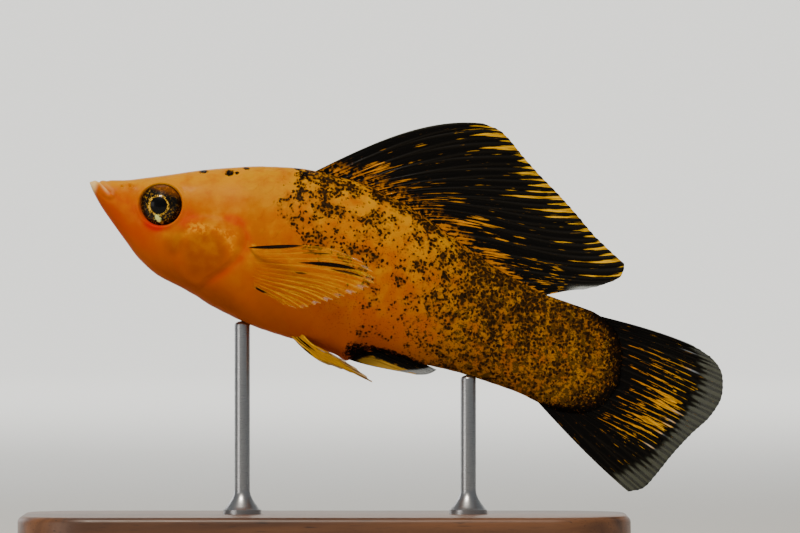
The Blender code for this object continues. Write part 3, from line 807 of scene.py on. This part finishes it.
def caudal_paint(across, x, out, ridge):
    """Black lobes, orange streaks along the middle rays, a smoky margin and painted glints near it."""
    chance = np.random.default_rng(23)
    number, place = web_place(x, out)
    start = drawn(chance, number, 0.02, 0.14)
    edge = 0.83 - 0.05 * ease((across - 0.7) / 0.2) + 0.1 * ease((0.12 - across) / 0.1)
    edge = edge - 0.08 * bell(across, 0.36, 0.2)
    stop = edge + drawn(chance, number, -0.03, 0.06)
    strong = drawn(chance, number, 0.65, 1.05)
    middle = ease((across - 0.19) / 0.08) * ease((0.82 - across) / 0.1)
    upper = bell(across, 0.47, 0.05) * bell(out, 0.6, 0.13)
    heart = np.maximum(upper, bell(across, 0.62, 0.05) * bell(out, 0.63, 0.16))
    width = 0.16 + 0.1 * ease(out / 0.5) + 0.6 * heart
    bars = ease((width - np.abs(place)) / 0.32) * ease((out - start) / 0.15) * ease((stop - out) / 0.05)
    gold = np.clip(strong, 0, 1) * bars * middle
    streaks = 0.35 * heart + 0.17 * middle * ease((0.82 - out) / 0.1) * ease((out - 0.1) / 0.2)
    streaks += 0.08 * ease((across - 0.72) / 0.08) * bell(out, 0.5, 0.25)
    ray = np.rint(x).astype(int)
    edge = edge + drawn(chance, number, -0.02, 0.02) + ridge * drawn(chance, ray, 0.0, 0.1)
    margin = ease((out - edge) / 0.05)
    # Painted glints: pale bluish dashes near the margin of some webs stand for highlights on the wet
    # membrane.
    glints = drawn(chance, number, 0, 1) > 0.72
    pale = 0.5 * glints * bell(out, edge - 0.05, 0.05) * ease((0.35 - np.abs(place)) / 0.3)
    pale += 0.4 * ease((0.01 - across) / 0.008) * ease((out - 0.2) / 0.3)
    smoke = margin * (1 - 0.75 * ridge) + 0.35 * gold * ease((0.42 - across) / 0.15)
    return {"gold": gold, "streaks": streaks, "clear": 0.14 * margin, "smoke": smoke, "pale": pale}


def dash(across, out, place, start, stop, width):
    """A dark dash along a ray, tapered at both ends."""
    middle = (start + stop) / 2
    span = np.clip(1 - ((out - middle) / ((stop - start) / 2)) ** 2, 0, 1)
    return ease((width * span - np.abs(across - place)) / (width * 0.5)) * (span > 0)


def pectoral_paint(across, x, out, ridge):
    """Clear with yellow rays that come out of the flank's flesh, black dashes and pale ray tips."""
    ink = dash(across, out, 0.02, 0.0, 0.66, 0.07)
    ink += dash(across, out, 0.3, 0.38, 0.92, 0.026) + 0.8 * dash(across, out, 0.34, 0.6, 0.97, 0.018)
    ink += 0.8 * dash(across, out, 0.17, 0.46, 0.78, 0.022) + 0.7 * dash(across, out, 0.43, 0.4, 0.54, 0.025)
    ink += 0.6 * dash(across, out, 0.1, 0.5, 0.72, 0.02) + dash(across, out, 0.97, 0.12, 0.5, 0.06)
    ink = np.clip(ink, 0, 1)
    grown = ease((out - 0.06) / 0.22)
    lower = ease((across - 0.35) / 0.2) * ease((0.85 - out) / 0.2)
    chance = np.random.default_rng(31)
    ray = np.rint(x).astype(int)
    crest = ridge * (0.22 + 0.34 * lower) * drawn(chance, ray, 0.45, 1.2)
    tips = bell(x - np.rint(x), 0, 0.2) * ease((out - 0.925) / 0.025)
    pale = drawn(chance, ray, 0.15, 0.6) * tips
    solid = np.maximum(grown * (0.1 + crest), ink * 0.9)
    solid = np.maximum(solid, 0.6 * pale)
    return {"gold": 0.3 + 0.6 * ridge * (0.4 + 0.6 * lower), "clear": 1 - solid, "pale": pale, "ink": ink}


def pelvic_paint(across, x, out, ridge):
    """Yellow with dark edges and grey tips."""
    ink = dash(across, out, 0.45, 0.06, 0.4, 0.14) + dash(across, out, 0.2, 0.12, 0.5, 0.1)
    ink += 0.8 * dash(across, out, 0.8, 0.3, 0.66, 0.1) + 0.7 * dash(across, out, 0.02, 0.3, 0.8, 0.08)
    tip = ease((out - 0.72) / 0.25)
    pale = 0.4 * tip * ridge + 0.4 * bell(across, 0, 0.06) * bell(out, 0.4, 0.15)
    return {
        "gold": 1 - 0.5 * tip, "clear": 0.35 * tip * (1 - 0.6 * ridge), "smoke": 0.6 * tip * (1 - ridge),
        "pale": pale, "ink": ink, "bright": 0.6 * (1 - tip),
    }


def anal_paint(across, x, out, ridge):
    """Black above and at its root, with an olive yellow strip below and a grey tip with a yellow bit."""
    tip = ease((out - 0.7 - 0.12 * across) / 0.08)
    strip = ease((0.38 - across) / 0.14) * ease((out - 0.1) / 0.12) * ease((across - 0.01) / 0.04)
    strip *= 1 - tip
    bit = bell(across, 0.12, 0.12) * bell(out, 0.9, 0.06)
    ink = 0.7 * ease((0.3 - out) / 0.2)
    return {
        "gold": strip + bit, "clear": 0.25 * tip, "smoke": 0.6 * strip + 0.9 * tip * (1 - bit),
        "pale": 0.35 * tip * (1 - bit), "ink": ink, "bright": strip,
    }


# Finishes


def join(made, values):
    """Sets or links a node's inputs. A node that is given as a value stands for its first output."""
    for name, value in values.items():
        if isinstance(value, bpy.types.Node):
            value = value.outputs[0]
        if isinstance(value, bpy.types.NodeSocket):
            made.id_data.links.new(value, made.inputs[name])
        else:
            made.inputs[name].default_value = value


def add_node(tree, kind, links=None, **settings):
    """Adds a shader node, gives it its settings and sets or links its inputs."""
    made = tree.nodes.new("ShaderNode" + kind)
    for name, value in settings.items():
        setattr(made, name, value)
    join(made, links or {})
    return made


def masks_of(node, names):
    """What the mesh's masks hold, by their names."""
    return {name: node("Attribute", attribute_name=name).outputs["Fac"] for name in names}


def in_millimetres(node):
    """Places on the part, with 1 for a millimetre."""
    place = node("TexCoord").outputs["Object"]
    return node("Mapping", {"Vector": place, "Scale": (1000, 1000, 1000)})


def new_finish(name, **values):
    """A material, the function that adds nodes to it, and its shader with plain values set."""
    made = bpy.data.materials.new(name)
    made.use_nodes = True
    shader = made.node_tree.nodes["Principled BSDF"]
    join(shader, {socket.replace("_", " "): value for socket, value in values.items()})
    return made, partial(add_node, made.node_tree), shader


def layered(node, ground, layers):
    """Colours laid over a ground one after another, each through its mask, as hex codes or sockets."""
    colour = ground
    for mask, tint in layers:
        tint = linear(tint) if isinstance(tint, str) else tint
        colour = node("Mix", {0: mask, 6: colour, 7: tint}, data_type="RGBA").outputs[2]
    return colour


def speckled_skin():
    """Wet living skin: a glossy film over soft flesh that glows a little, orange with black dots."""
    made, node, shader = new_finish(
        "wet_speckled_skin", IOR=1.4, Specular_IOR_Level=0.04, Coat_Weight=0.01, Coat_Roughness=0.12,
        Subsurface_Weight=0.08, Subsurface_Scale=0.001, Subsurface_Radius=(1.0, 0.3, 0.05),
    )
    in_mm = in_millimetres(node)
    masks = masks_of(
        node, ("height", "speckle", "specks", "ink", "blush", "olive", "gold", "pale", "veil", "tone")
    )
    # Pigment wanders by 0.3 mm, so that no dot is round.
    wander = node("TexNoise", {"Vector": in_mm, "Scale": 1.5, "Detail": 2.0})
    shift = node(
        "VectorMath",
        {0: wander.outputs["Color"], 1: (0.6, 0.6, 0.6), 2: (-0.3, -0.3, -0.3)}, operation="MULTIPLY_ADD",
    )
    strayed = node("VectorMath", {0: in_mm, 1: shift}, operation="ADD")
    cluster = node("TexNoise", {"Vector": in_mm, "Scale": 0.5, "Detail": 2.0})
    mottle = node("TexNoise", {"Vector": in_mm, "Scale": 0.55, "Detail": 3.0})
    grain = node("TexNoise", {"Vector": in_mm, "Scale": 2.6, "Detail": 2.0})

    # Dots of about 0.3 mm, one in each cell of 0.36 mm whose draw is under the local share
    cells = node("TexVoronoi", {"Vector": strayed, "Scale": 2.75})
    draw = node("SeparateColor", {"Color": cells.outputs["Color"]})
    swing = node(
        "MapRange", {"Value": cluster, "From Min": 0.4, "From Max": 0.6, "To Min": -0.38, "To Max": 0.38}
    )
    dotted = node("MapRange", {"Value": masks["speckle"], "From Max": 0.25})
    evener = node("Math", {0: masks["veil"], 1: -0.8, 2: 1.0}, operation="MULTIPLY_ADD")
    swing_there = node("Math", {0: swing, 1: dotted}, operation="MULTIPLY")
    swing_there = node("Math", {0: swing_there, 1: evener}, operation="MULTIPLY")
    share = node("Math", {0: masks["speckle"], 1: swing_there}, operation="ADD")
    spare = node("Math", {0: share, 1: draw}, operation="SUBTRACT")
    there = node("MapRange", {"Value": spare, "From Max": 0.06})
    width = node("Math", {0: share, 1: 0.26, 2: 0.36}, operation="MULTIPLY_ADD")
    inside = node("Math", {0: width, 1: cells}, operation="SUBTRACT")
    dot = node(
        "MapRange", {"Value": inside, "From Min": -0.1, "From Max": 0.14}, interpolation_type="SMOOTHSTEP"
    )
    dots = node("Math", {0: there, 1: dot}, operation="MULTIPLY")
    halo = node("MapRange", {"Value": inside, "From Min": -0.35, "From Max": 0.0, "To Max": 0.6})
    halo = node("Math", {0: there, 1: halo}, operation="MULTIPLY")
    # The skin under a cluster of dots is browner
    stain = node("MapRange", {"Value": share, "From Min": 0.3, "From Max": 1.0, "To Max": 0.5})

    # Faint reddish specks of 0.15 mm between them
    small = node("TexVoronoi", {"Vector": strayed, "Scale": 4.4})
    small_draw = node("SeparateColor", {"Color": small.outputs["Color"]}).outputs["Green"]
    small_there = node("MapRange", {"Value": small_draw, "From Min": 0.42, "From Max": 0.34})
    small_dot = node("MapRange", {"Value": small, "From Min": 0.42, "From Max": 0.2})
    specks = node("Math", {0: small_there, 1: small_dot}, operation="MULTIPLY")
    specks = node("Math", {0: specks, 1: masks["specks"]}, operation="MULTIPLY")

    # Olive brown mosaic of grains up to 0.5 mm that veils the rear
    fine = node("TexNoise", {"Vector": in_mm, "Scale": 3.2, "Detail": 5.0, "Roughness": 0.75})
    coarse = node("TexNoise", {"Vector": in_mm, "Scale": 1.8, "Detail": 5.0, "Roughness": 0.76})
    spread = node(
        "MapRange", {"Value": coarse, "From Min": 0.3, "From Max": 0.7, "To Min": -1.0, "To Max": 1.0}
    )
    veiled = node("MapRange", {"Value": masks["veil"], "From Max": 0.2})
    spread = node("Math", {0: spread, 1: veiled}, operation="MULTIPLY")
    veil = node("Math", {0: masks["veil"], 1: spread}, operation="ADD")
    veil = node("MapRange", {"Value": veil, "From Min": 0.45, "From Max": 0.75, "To Max": 0.9})

    # Solid black patches with a ragged edge
    ragged = node("Math", {0: fine, 1: 3.4, 2: -1.7}, operation="MULTIPLY_ADD")
    inked = node("MapRange", {"Value": masks["ink"], "From Max": 0.3})
    ragged = node("Math", {0: ragged, 1: inked}, operation="MULTIPLY")
    patch = node("Math", {0: masks["ink"], 1: ragged}, operation="ADD")
    patch = node(
        "MapRange", {"Value": patch, "From Min": 0.3, "From Max": 0.75}, interpolation_type="SMOOTHSTEP"
    )
    black = node("Math", {0: dots, 1: patch}, operation="MAXIMUM")

    # From the belly up, the ground turns from dark burnt orange through orange to yellow: partly the skin's
    # own colours, and partly painted shade on the belly and painted light on the back.
    flank_mask, back_mask = (
        node(
            "MapRange", {"Value": masks["height"], "From Min": start, "From Max": end},
            interpolation_type="SMOOTHSTEP",
        )
        for start, end in ((0.12, 0.5), (0.55, 0.97))
    )
    deeper = node("MapRange", {"Value": mottle, "From Min": 0.5, "From Max": 0.75, "To Max": 0.6})
    lighter = node("MapRange", {"Value": mottle, "From Min": 0.5, "From Max": 0.3, "To Max": 0.6})
    brighter = node("Math", {0: lighter, 1: flank_mask}, operation="MULTIPLY")
    broken_gold = node("MapRange", {"Value": grain, "From Min": 0.42, "From Max": 0.58})
    gold = node("Math", {0: masks["gold"], 1: broken_gold}, operation="MULTIPLY")
    clouded = node("MapRange", {"Value": mottle, "From Min": 0.3, "From Max": 0.65, "To Min": 0.6})
    olive = node("Math", {0: masks["olive"], 1: clouded}, operation="MULTIPLY")
    faint = node("Math", {0: specks, 1: 0.65}, operation="MULTIPLY")
    rear = node("Math", {0: masks["veil"], 1: 1.2}, operation="MULTIPLY")
    tone = node("MapRange", {"Value": masks["tone"], "From Min": -1.0, "To Max": 0.1})
    deep_dot = node("MapRange", {"Value": grain, "From Min": 0.3, "From Max": 0.7})
    pigment = layered(node, linear("#120B05"), [(deep_dot, "#38240E"), (masks["ink"], "#070504")])
    colour = layered(
        node, linear("#B45204"),
        [
            (flank_mask, "#B85E00"), (back_mask, "#CE8A00"), (rear, "#9C6E12"),
            (deeper, "#B04800"), (brighter, "#D08A00"), (masks["blush"], "#C41A00"), (olive, "#7A3600"),
            (gold, "#DC9000"), (tone, "#A04A00"), (faint, "#7A2800"), (stain, "#7C4A14"), (veil, "#43300C"),
            (halo, "#5E3206"), (masks["pale"], "#F0D08A"), (black, pigment),
        ],
    )

    gloss = node("MapRange", {"Value": grain, "To Min": 0.3, "To Max": 0.46})
    pores = node("TexNoise", {"Vector": in_mm, "Scale": 5.0, "Detail": 2.0})
    height = node("Math", {0: dots, 1: -0.25, 2: pores}, operation="MULTIPLY_ADD")
    bump = node("Bump", {"Height": height, "Strength": 0.3, "Distance": 0.00004})
    join(shader, {"Base Color": colour, "Roughness": gloss, "Normal": bump})
    return made


def fin_membrane(name, ground, ray, foot_tint):
    """Wet fin membrane: thin, smooth and glossy, streaked along its rays, clear where pigment is thin."""
    made, node, shader = new_finish(name, Roughness=0.5, IOR=1.4, Specular_IOR_Level=0.06, Coat_Weight=0.01)
    masks = masks_of(node, FIN_MASKS)
    along_rays = node("UVMap", uv_map="rays")
    in_mm = in_millimetres(node)

    # Streaks about 0.3 mm wide and 2 to 5 mm long
    fine = node("Mapping", {"Vector": along_rays, "Scale": (5.4, 0.5, 1)})
    fibre = node("TexNoise", {"Vector": fine, "Scale": 1.0, "Detail": 4.0})
    broad = node("Mapping", {"Vector": along_rays, "Scale": (0.35, 0.3, 1)})
    drift = node("TexNoise", {"Vector": broad, "Scale": 1.0, "Detail": 1.0})
    thick = node(
        "MapRange", {"Value": drift, "From Min": 0.35, "From Max": 0.65, "To Min": 0.6, "To Max": 1.25}
    )
    share = node("Math", {0: masks["streaks"], 1: thick}, operation="MULTIPLY")
    spread = node("MapRange", {"Value": fibre, "From Min": 0.3, "From Max": 0.7})
    free = node("Math", {0: share, 1: spread}, operation="ADD")
    free = node(
        "MapRange", {"Value": free, "From Min": 0.95, "From Max": 1.1}, interpolation_type="SMOOTHSTEP"
    )
    hairs = node("Mapping", {"Vector": along_rays, "Scale": (10.0, 0.7, 1)})
    hair = node("TexNoise", {"Vector": hairs, "Scale": 1.0, "Detail": 3.0})
    frayed = node("Math", {0: hair, 1: 2.0, 2: -1.0}, operation="MULTIPLY_ADD")
    wedge = node("Math", {0: masks["gold"], 1: frayed}, operation="ADD")
    wedge = node(
        "MapRange", {"Value": wedge, "From Min": 0.36, "From Max": 0.6}, interpolation_type="SMOOTHSTEP"
    )
    gold = node("Math", {0: free, 1: wedge}, operation="MAXIMUM")

    grain = node("TexNoise", {"Vector": in_mm, "Scale": 2.0, "Detail": 3.0})
    streaky = node("Math", {0: grain, 1: fibre}, operation="ADD")
    mottled = node("MapRange", {"Value": streaky, "From Min": 0.98, "From Max": 1.1})
    foot = node("Math", {0: masks["foot"], 1: mottled}, operation="MULTIPLY")
    dulled = node("MapRange", {"Value": hair, "From Min": 0.58, "From Max": 0.4, "To Max": 0.75})
    kept = node("Math", {0: 1.0, 1: masks["bright"]}, operation="SUBTRACT")
    dulled = node("Math", {0: dulled, 1: kept}, operation="MULTIPLY")
    yellow = layered(
        node, linear("#D07400"),
        [(masks["out"], "#F0B800"), (masks["bright"], "#EEB400"), (dulled, "#7A4A00")],
    )
    inked = node("Math", {0: frayed, 1: 0.7, 2: masks["ink"]}, operation="MULTIPLY_ADD")
    inked = node("MapRange", {"Value": inked, "From Min": 0.42, "From Max": 0.7})
    rays = node("Math", {0: masks["ridge"], 1: 0.6}, operation="MULTIPLY")
    # The pale layer gives pale ray tips and edges, and in the tail fan it also gives painted glints that
    # stand for highlights.
    colour = layered(
        node, linear(ground),
        [
            (rays, ray), (foot, foot_tint), (gold, yellow),
            (masks["smoke"], "#484A3C"), (masks["pale"], "#B6BCC2"), (inked, "#060504"),
        ],
    )
    solid = node("Math", {0: 1.0, 1: masks["clear"]}, operation="SUBTRACT")

    # The joints of the rays, 0.4 to 0.6 mm apart, with the fibres' own fine relief
    joints = node("TexWave", {"Vector": along_rays, "Scale": 0.8}, bands_direction="Y").outputs["Fac"]
    joints = node("Math", {0: joints, 1: masks["ridge"]}, operation="MULTIPLY")
    height = node("Math", {0: joints, 1: 0.4, 2: fibre}, operation="MULTIPLY_ADD")
    bump = node("Bump", {"Height": height, "Strength": 0.35, "Distance": 0.00005})
    join(shader, {"Base Color": colour, "Alpha": solid, "Normal": bump})
    return made


def eye_finish():
    """A living eye: a polished clear cornea over a dark iris with gold flecks, and a black pupil."""
    made, node, shader = new_finish(
        "gold_flecked_eye", Roughness=0.35, IOR=1.38, Specular_IOR_Level=0.1, Coat_Weight=0.3,
        Coat_Roughness=0.02, Coat_IOR=1.38,
    )
    tailward, upward = masks_of(node, ("tailward", "upward")).values()
    ball = node("CombineXYZ", {"X": tailward, "Y": upward})
    from_axis = node("VectorMath", {0: ball}, operation="LENGTH").outputs["Value"]
    # The pupil lies 0.2 mm under the ball's axis.
    spot = node("VectorMath", {0: ball, 1: (0.05, 0.17, 0)}, operation="ADD")
    radius = node("VectorMath", {0: spot}, operation="LENGTH").outputs["Value"]
    wander = node("TexNoise", {"Vector": spot, "Scale": 2.2, "Detail": 3.0})
    rough = node("Math", {0: wander, 1: 0.5, 2: radius}, operation="MULTIPLY_ADD")
    flecks = node("TexNoise", {"Vector": spot, "Scale": 3.6, "Detail": 3.0, "Distortion": 1.2})
    fleck = node("MapRange", {"Value": flecks, "From Min": 0.56, "From Max": 0.64})

    # Each mask rises from the first distance to the second, in millimetres
    pupil = node("MapRange", {"Value": radius, "From Min": 1.03, "From Max": 0.97})
    ring = node("MapRange", {"Value": rough, "From Min": 1.53, "From Max": 1.43})
    rim = node("MapRange", {"Value": from_axis, "From Min": 2.22, "From Max": 2.36})
    low = node("MapRange", {"Value": upward, "From Min": 0.5, "From Max": -0.6})
    front = node("MapRange", {"Value": tailward, "From Min": 0.2, "From Max": -1.2, "To Min": 0.25})
    top = node("MapRange", {"Value": upward, "From Min": 1.2, "From Max": 1.9})
    sides = node("Math", {0: low, 1: front}, operation="MAXIMUM")
    patches = node("Math", {0: fleck, 1: sides}, operation="MULTIPLY")
    ring_gold = node("MapRange", {"Value": flecks, "From Min": 0.46, "From Max": 0.54})
    ring = node("Math", {0: ring, 1: ring_gold}, operation="MULTIPLY")
    glint_place = node("VectorMath", {0: spot, 1: (0.35, -1.4, 0)}, operation="DISTANCE").outputs["Value"]
    glint = node("Math", {0: glint_place, 1: wander}, operation="ADD")
    glint = node("MapRange", {"Value": glint, "From Min": 0.98, "From Max": 0.78})
    haze = node("Math", {0: fleck, 1: 0.5, 2: 0.4}, operation="MULTIPLY_ADD")
    top = node("Math", {0: top, 1: haze}, operation="MULTIPLY")
    colour = layered(
        node, linear("#0C0B08"),
        [
            (patches, "#9A7018"), (top, "#A85C06"), (ring, "#E0AC30"), (glint, "#EAF08A"),
            (rim, "#0A0806"), (pupil, "#020202"),
        ],
    )
    bump = node("Bump", {"Height": flecks, "Strength": 0.25, "Distance": 0.00005})
    join(shader, {"Base Color": colour, "Normal": bump})
    return made


def walnut():
    """Oiled walnut, planed along its length: a satin brown with darker pores and long grain lines."""
    made, node, shader = new_finish(
        "oiled_walnut", Roughness=0.42, IOR=1.5, Coat_Weight=0.12, Coat_Roughness=0.3
    )
    in_mm = in_millimetres(node)
    # Growth rings 3 mm apart and pores 0.15 mm wide, both drawn out along the board
    bands = node("Mapping", {"Vector": in_mm, "Scale": (0.012, 0.3, 0.3)})
    rings = node("TexNoise", {"Vector": bands, "Scale": 1.0, "Detail": 4.0, "Distortion": 0.8})
    fine = node("Mapping", {"Vector": in_mm, "Scale": (0.35, 6.0, 6.0)})
    pores = node("TexNoise", {"Vector": fine, "Scale": 1.0, "Detail": 2.0})
    ring = node("MapRange", {"Value": rings, "From Min": 0.35, "From Max": 0.65})
    pore = node("MapRange", {"Value": pores, "From Min": 0.6, "From Max": 0.72, "To Max": 0.7})
    colour = layered(node, linear("#4A2C18"), [(ring, "#7A4E2C"), (pore, "#22130A")])
    gloss = node("MapRange", {"Value": pores, "To Min": 0.36, "To Max": 0.52})
    bump = node("Bump", {"Height": pores, "Strength": 0.3, "Distance": 0.00006}, invert=True)
    join(shader, {"Base Color": colour, "Roughness": gloss, "Normal": bump})
    return made


def brushed_steel():
    """Turned and brushed stainless steel: soft grey highlights drawn out round the rod."""
    made, node, shader = new_finish("brushed_steel", Metallic=1.0, Roughness=0.3)
    place = node("TexCoord").outputs["Object"]
    # Brush marks 0.05 mm apart up the rod
    marks = node("Mapping", {"Vector": place, "Scale": (900, 900, 20000)})
    brushed = node("TexNoise", {"Vector": marks, "Scale": 1.0, "Detail": 2.0})
    colour = layered(node, linear("#B4B5B6"), [(brushed, "#8E8F91")])
    gloss = node("MapRange", {"Value": brushed, "To Min": 0.2, "To Max": 0.42})
    bump = node("Bump", {"Height": brushed, "Strength": 0.2, "Distance": 0.00002})
    join(shader, {"Base Color": colour, "Roughness": gloss, "Normal": bump})
    return made


# Stand

BASE_CORNER = 9.0
BASE_EDGE = 0.7
ROD_RADIUS = 0.9
ROD_FOOT_RADIUS = 2.2
ROD_FOOT_EDGE = 0.5
ROD_FLARE = 2.2  # height of the flare over the foot
ROD_TIP = 0.5  # height of the rounded tip


def stand_base(finish):
    """The base board, with round corners and a soft upper edge."""
    low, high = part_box("stand_base")
    bm = bmesh.new()
    bmesh.ops.create_cube(bm, size=1)
    bmesh.ops.scale(bm, vec=high - low, verts=bm.verts)
    bmesh.ops.translate(bm, vec=(low + high) / 2, verts=bm.verts)
    middle = (low.z + high.z) / 2
    upright = [e for e in bm.edges if (e.verts[0].co.z - middle) * (e.verts[1].co.z - middle) < 0]
    bmesh.ops.bevel(
        bm, geom=upright, offset=BASE_CORNER * MM, segments=20, profile=0.5, affect="EDGES", material=-1
    )
    edges = [e for e in bm.edges if min(v.co.z for v in e.verts) > high.z - 1e-6]
    bmesh.ops.bevel(
        bm, geom=edges, offset=BASE_EDGE * MM, segments=5, profile=0.5, affect="EDGES", material=-1
    )
    mesh = mesh_of("base_board", bm)
    obj = piece("base_board", mesh, finish, ("stand_base",))
    mesh.set_sharp_from_angle(angle=math.radians(50))
    return obj


def stand_rod(name, finish):
    """A turned rod with a flared foot and a rounded tip that meets the belly."""
    low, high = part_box(name)
    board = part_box("stand_base")[1].z
    x = (low.x + high.x) / 2
    foot, radius = ROD_FOOT_RADIUS * MM, ROD_RADIUS * MM
    shoulder = high.z - ROD_TIP * MM
    outline = [(0, board), (foot, board), (foot, board + ROD_FOOT_EDGE * MM)]
    for t in np.linspace(0, 1, 9):
        flare = radius + (foot * 0.93 - radius) * (1 - math.sin(t * math.pi / 2))
        outline.append((flare, board + (ROD_FOOT_EDGE + 0.12 + ROD_FLARE * t) * MM))
    outline.append((radius, shoulder))
    for turn in np.linspace(0, math.pi / 2, 7)[1:]:
        outline.append((radius * math.cos(turn), shoulder + 0.9 * ROD_TIP * MM * math.sin(turn)))
    bm = bmesh.new()
    verts = [bm.verts.new((x + r, 0, z)) for r, z in outline]
    edges = [bm.edges.new(pair) for pair in zip(verts, verts[1:])]
    bmesh.ops.spin(
        bm, geom=verts + edges, cent=(x, 0, 0), axis=(0, 0, 1), dvec=(0, 0, 0), angle=2 * math.pi,
        steps=48, use_merge=True,
    )
    bmesh.ops.remove_doubles(bm, verts=bm.verts, dist=1e-7)
    bm.normal_update()
    bmesh.ops.recalc_face_normals(bm, faces=bm.faces)
    mesh = mesh_of(name + "_turned", bm)
    obj = piece(name + "_turned", mesh, finish, (name,))
    mesh.set_sharp_from_angle(angle=math.radians(40))
    return obj


# Studio

CAMERA_PLACE = (8.65, -1200.0, 31.97)
VIEW_WIDTH = 92.0  # what the camera takes in at the fish, in millimetres
SENSOR = 36.0


def backdrop():
    """A pale floor that sweeps up behind the stand."""
    made, node, shader = new_finish("pale_studio_paper", Roughness=0.85)
    place = node("TexCoord").outputs["Object"]
    fibre = node("TexNoise", {"Vector": place, "Scale": 900.0, "Detail": 2.0})
    join(shader, {"Base Color": layered(node, linear("#D9D8D3"), [(fibre, "#D2D1CC")])})
    bm = bmesh.new()
    bmesh.ops.create_grid(bm, x_segments=1, y_segments=40, size=0.5)
    sweep, run, front, width = 1.2, 1.9, 3.0, 4.0
    for vert in bm.verts:
        t = vert.co.y + 0.5
        turn = np.clip((t - 0.5) / 0.3, 0, 1) * math.pi / 2
        y = -front + (run + front) * min(t / 0.5, 1) + sweep * math.sin(turn)
        z = sweep * (1 - math.cos(turn)) + max(t - 0.8, 0) * 6
        vert.co = Vector((vert.co.x * width * 2, y, z - 0.0001))
    obj = bpy.data.objects.new("backdrop", mesh_of("backdrop", bm))
    bpy.context.scene.collection.objects.link(obj)
    obj.data.materials.append(made)
    obj.data.shade_smooth()


def lamp(name, place, aim, size, power, tint="#FFFFFF"):
    """A soft square lamp that looks at a point, in millimetres."""
    light = bpy.data.lights.new(name, "AREA")
    light.shape = "SQUARE"
    light.size = size * MM
    light.energy = power
    light.color = linear(tint)[:3]
    obj = bpy.data.objects.new(name, light)
    obj.location = Vector(place) * MM
    obj.rotation_euler = (Vector(aim) - Vector(place)).to_track_quat("-Z", "Y").to_euler()
    bpy.context.scene.collection.objects.link(obj)


def studio():
    backdrop()
    middle = (8, 0, 30)
    lamp("key", (-80, -240, 340), middle, 80, 1.55, "#FFF4E4")
    lamp("fill", (-420, -300, 60), middle, 220, 0.47, "#FFF8F0")
    lamp("rim", (-300, 380, 120), middle, 200, 0.3)
    lamp("backdrop_wash", (0, 900, 1800), (0, 2400, 1000), 900, 100)
    world = bpy.data.worlds.new("studio")
    world.use_nodes = True
    world.node_tree.nodes["Background"].inputs["Color"].default_value = linear("#E8ECEF")
    world.node_tree.nodes["Background"].inputs["Strength"].default_value = 0.34
    bpy.context.scene.world = world
    camera = bpy.data.cameras.new("camera")
    camera.sensor_width = SENSOR
    camera.lens = SENSOR * -CAMERA_PLACE[1] / VIEW_WIDTH
    camera.clip_start = 0.01
    obj = bpy.data.objects.new("camera", camera)
    obj.location = Vector(CAMERA_PLACE) * MM
    obj.rotation_euler = (math.pi / 2, 0, 0)
    bpy.context.scene.collection.objects.link(obj)
    bpy.context.scene.camera = obj


def fish():
    hide = speckled_skin()
    skin(hide)
    chance = np.random.default_rng(7)
    scales("scales_left", -1, hide, chance)
    scales("scales_right", 1, hide, chance)
    iris = eye_finish()
    eye("eye_left", -1, iris)
    eye("eye_right", 1, iris)
    black = fin_membrane("black_fin_membrane", "#090807", "#1A1712", "#B87000")
    amber = fin_membrane("amber_fin_membrane", "#B86A00", "#DCA018", "#C06000")
    tall = (0.34, 0.1, 0.16, 0.06)
    low = (0.26, 0.09, 0.12, 0.05)
    fin("dorsal_sail", 16, 56, dorsal_point, tall, dorsal_paint, black, "dorsal_fin")
    fin("tail_fan", 18, 48, caudal_point, tall, caudal_paint, black, "caudal_fin")
    fin(
        "gonopodium_rod", 5, 40, anal_point, (0.8, 0.5, 0.3, 0.2), anal_paint, black,
        "gonopodium", 0, 0,
    )
    for away, word in ((-1, "left"), (1, "right")):
        fin(
            "pectoral_web_" + word, 13, 44, pectoral_point(away), low, pectoral_paint, amber,
            "pectoral_fin_" + word, 0.04, 0.03,
        )
        fin(
            "pelvic_web_" + word, 6, 36, pelvic_point(away), low, pelvic_paint, amber,
            "pelvic_fin_" + word, 0.04, 0.03,
        )


def stand():
    stand_base(walnut())
    steel = brushed_steel()
    stand_rod("stand_rod_front", steel)
    stand_rod("stand_rod_rear", steel)


fish()
stand()
studio()
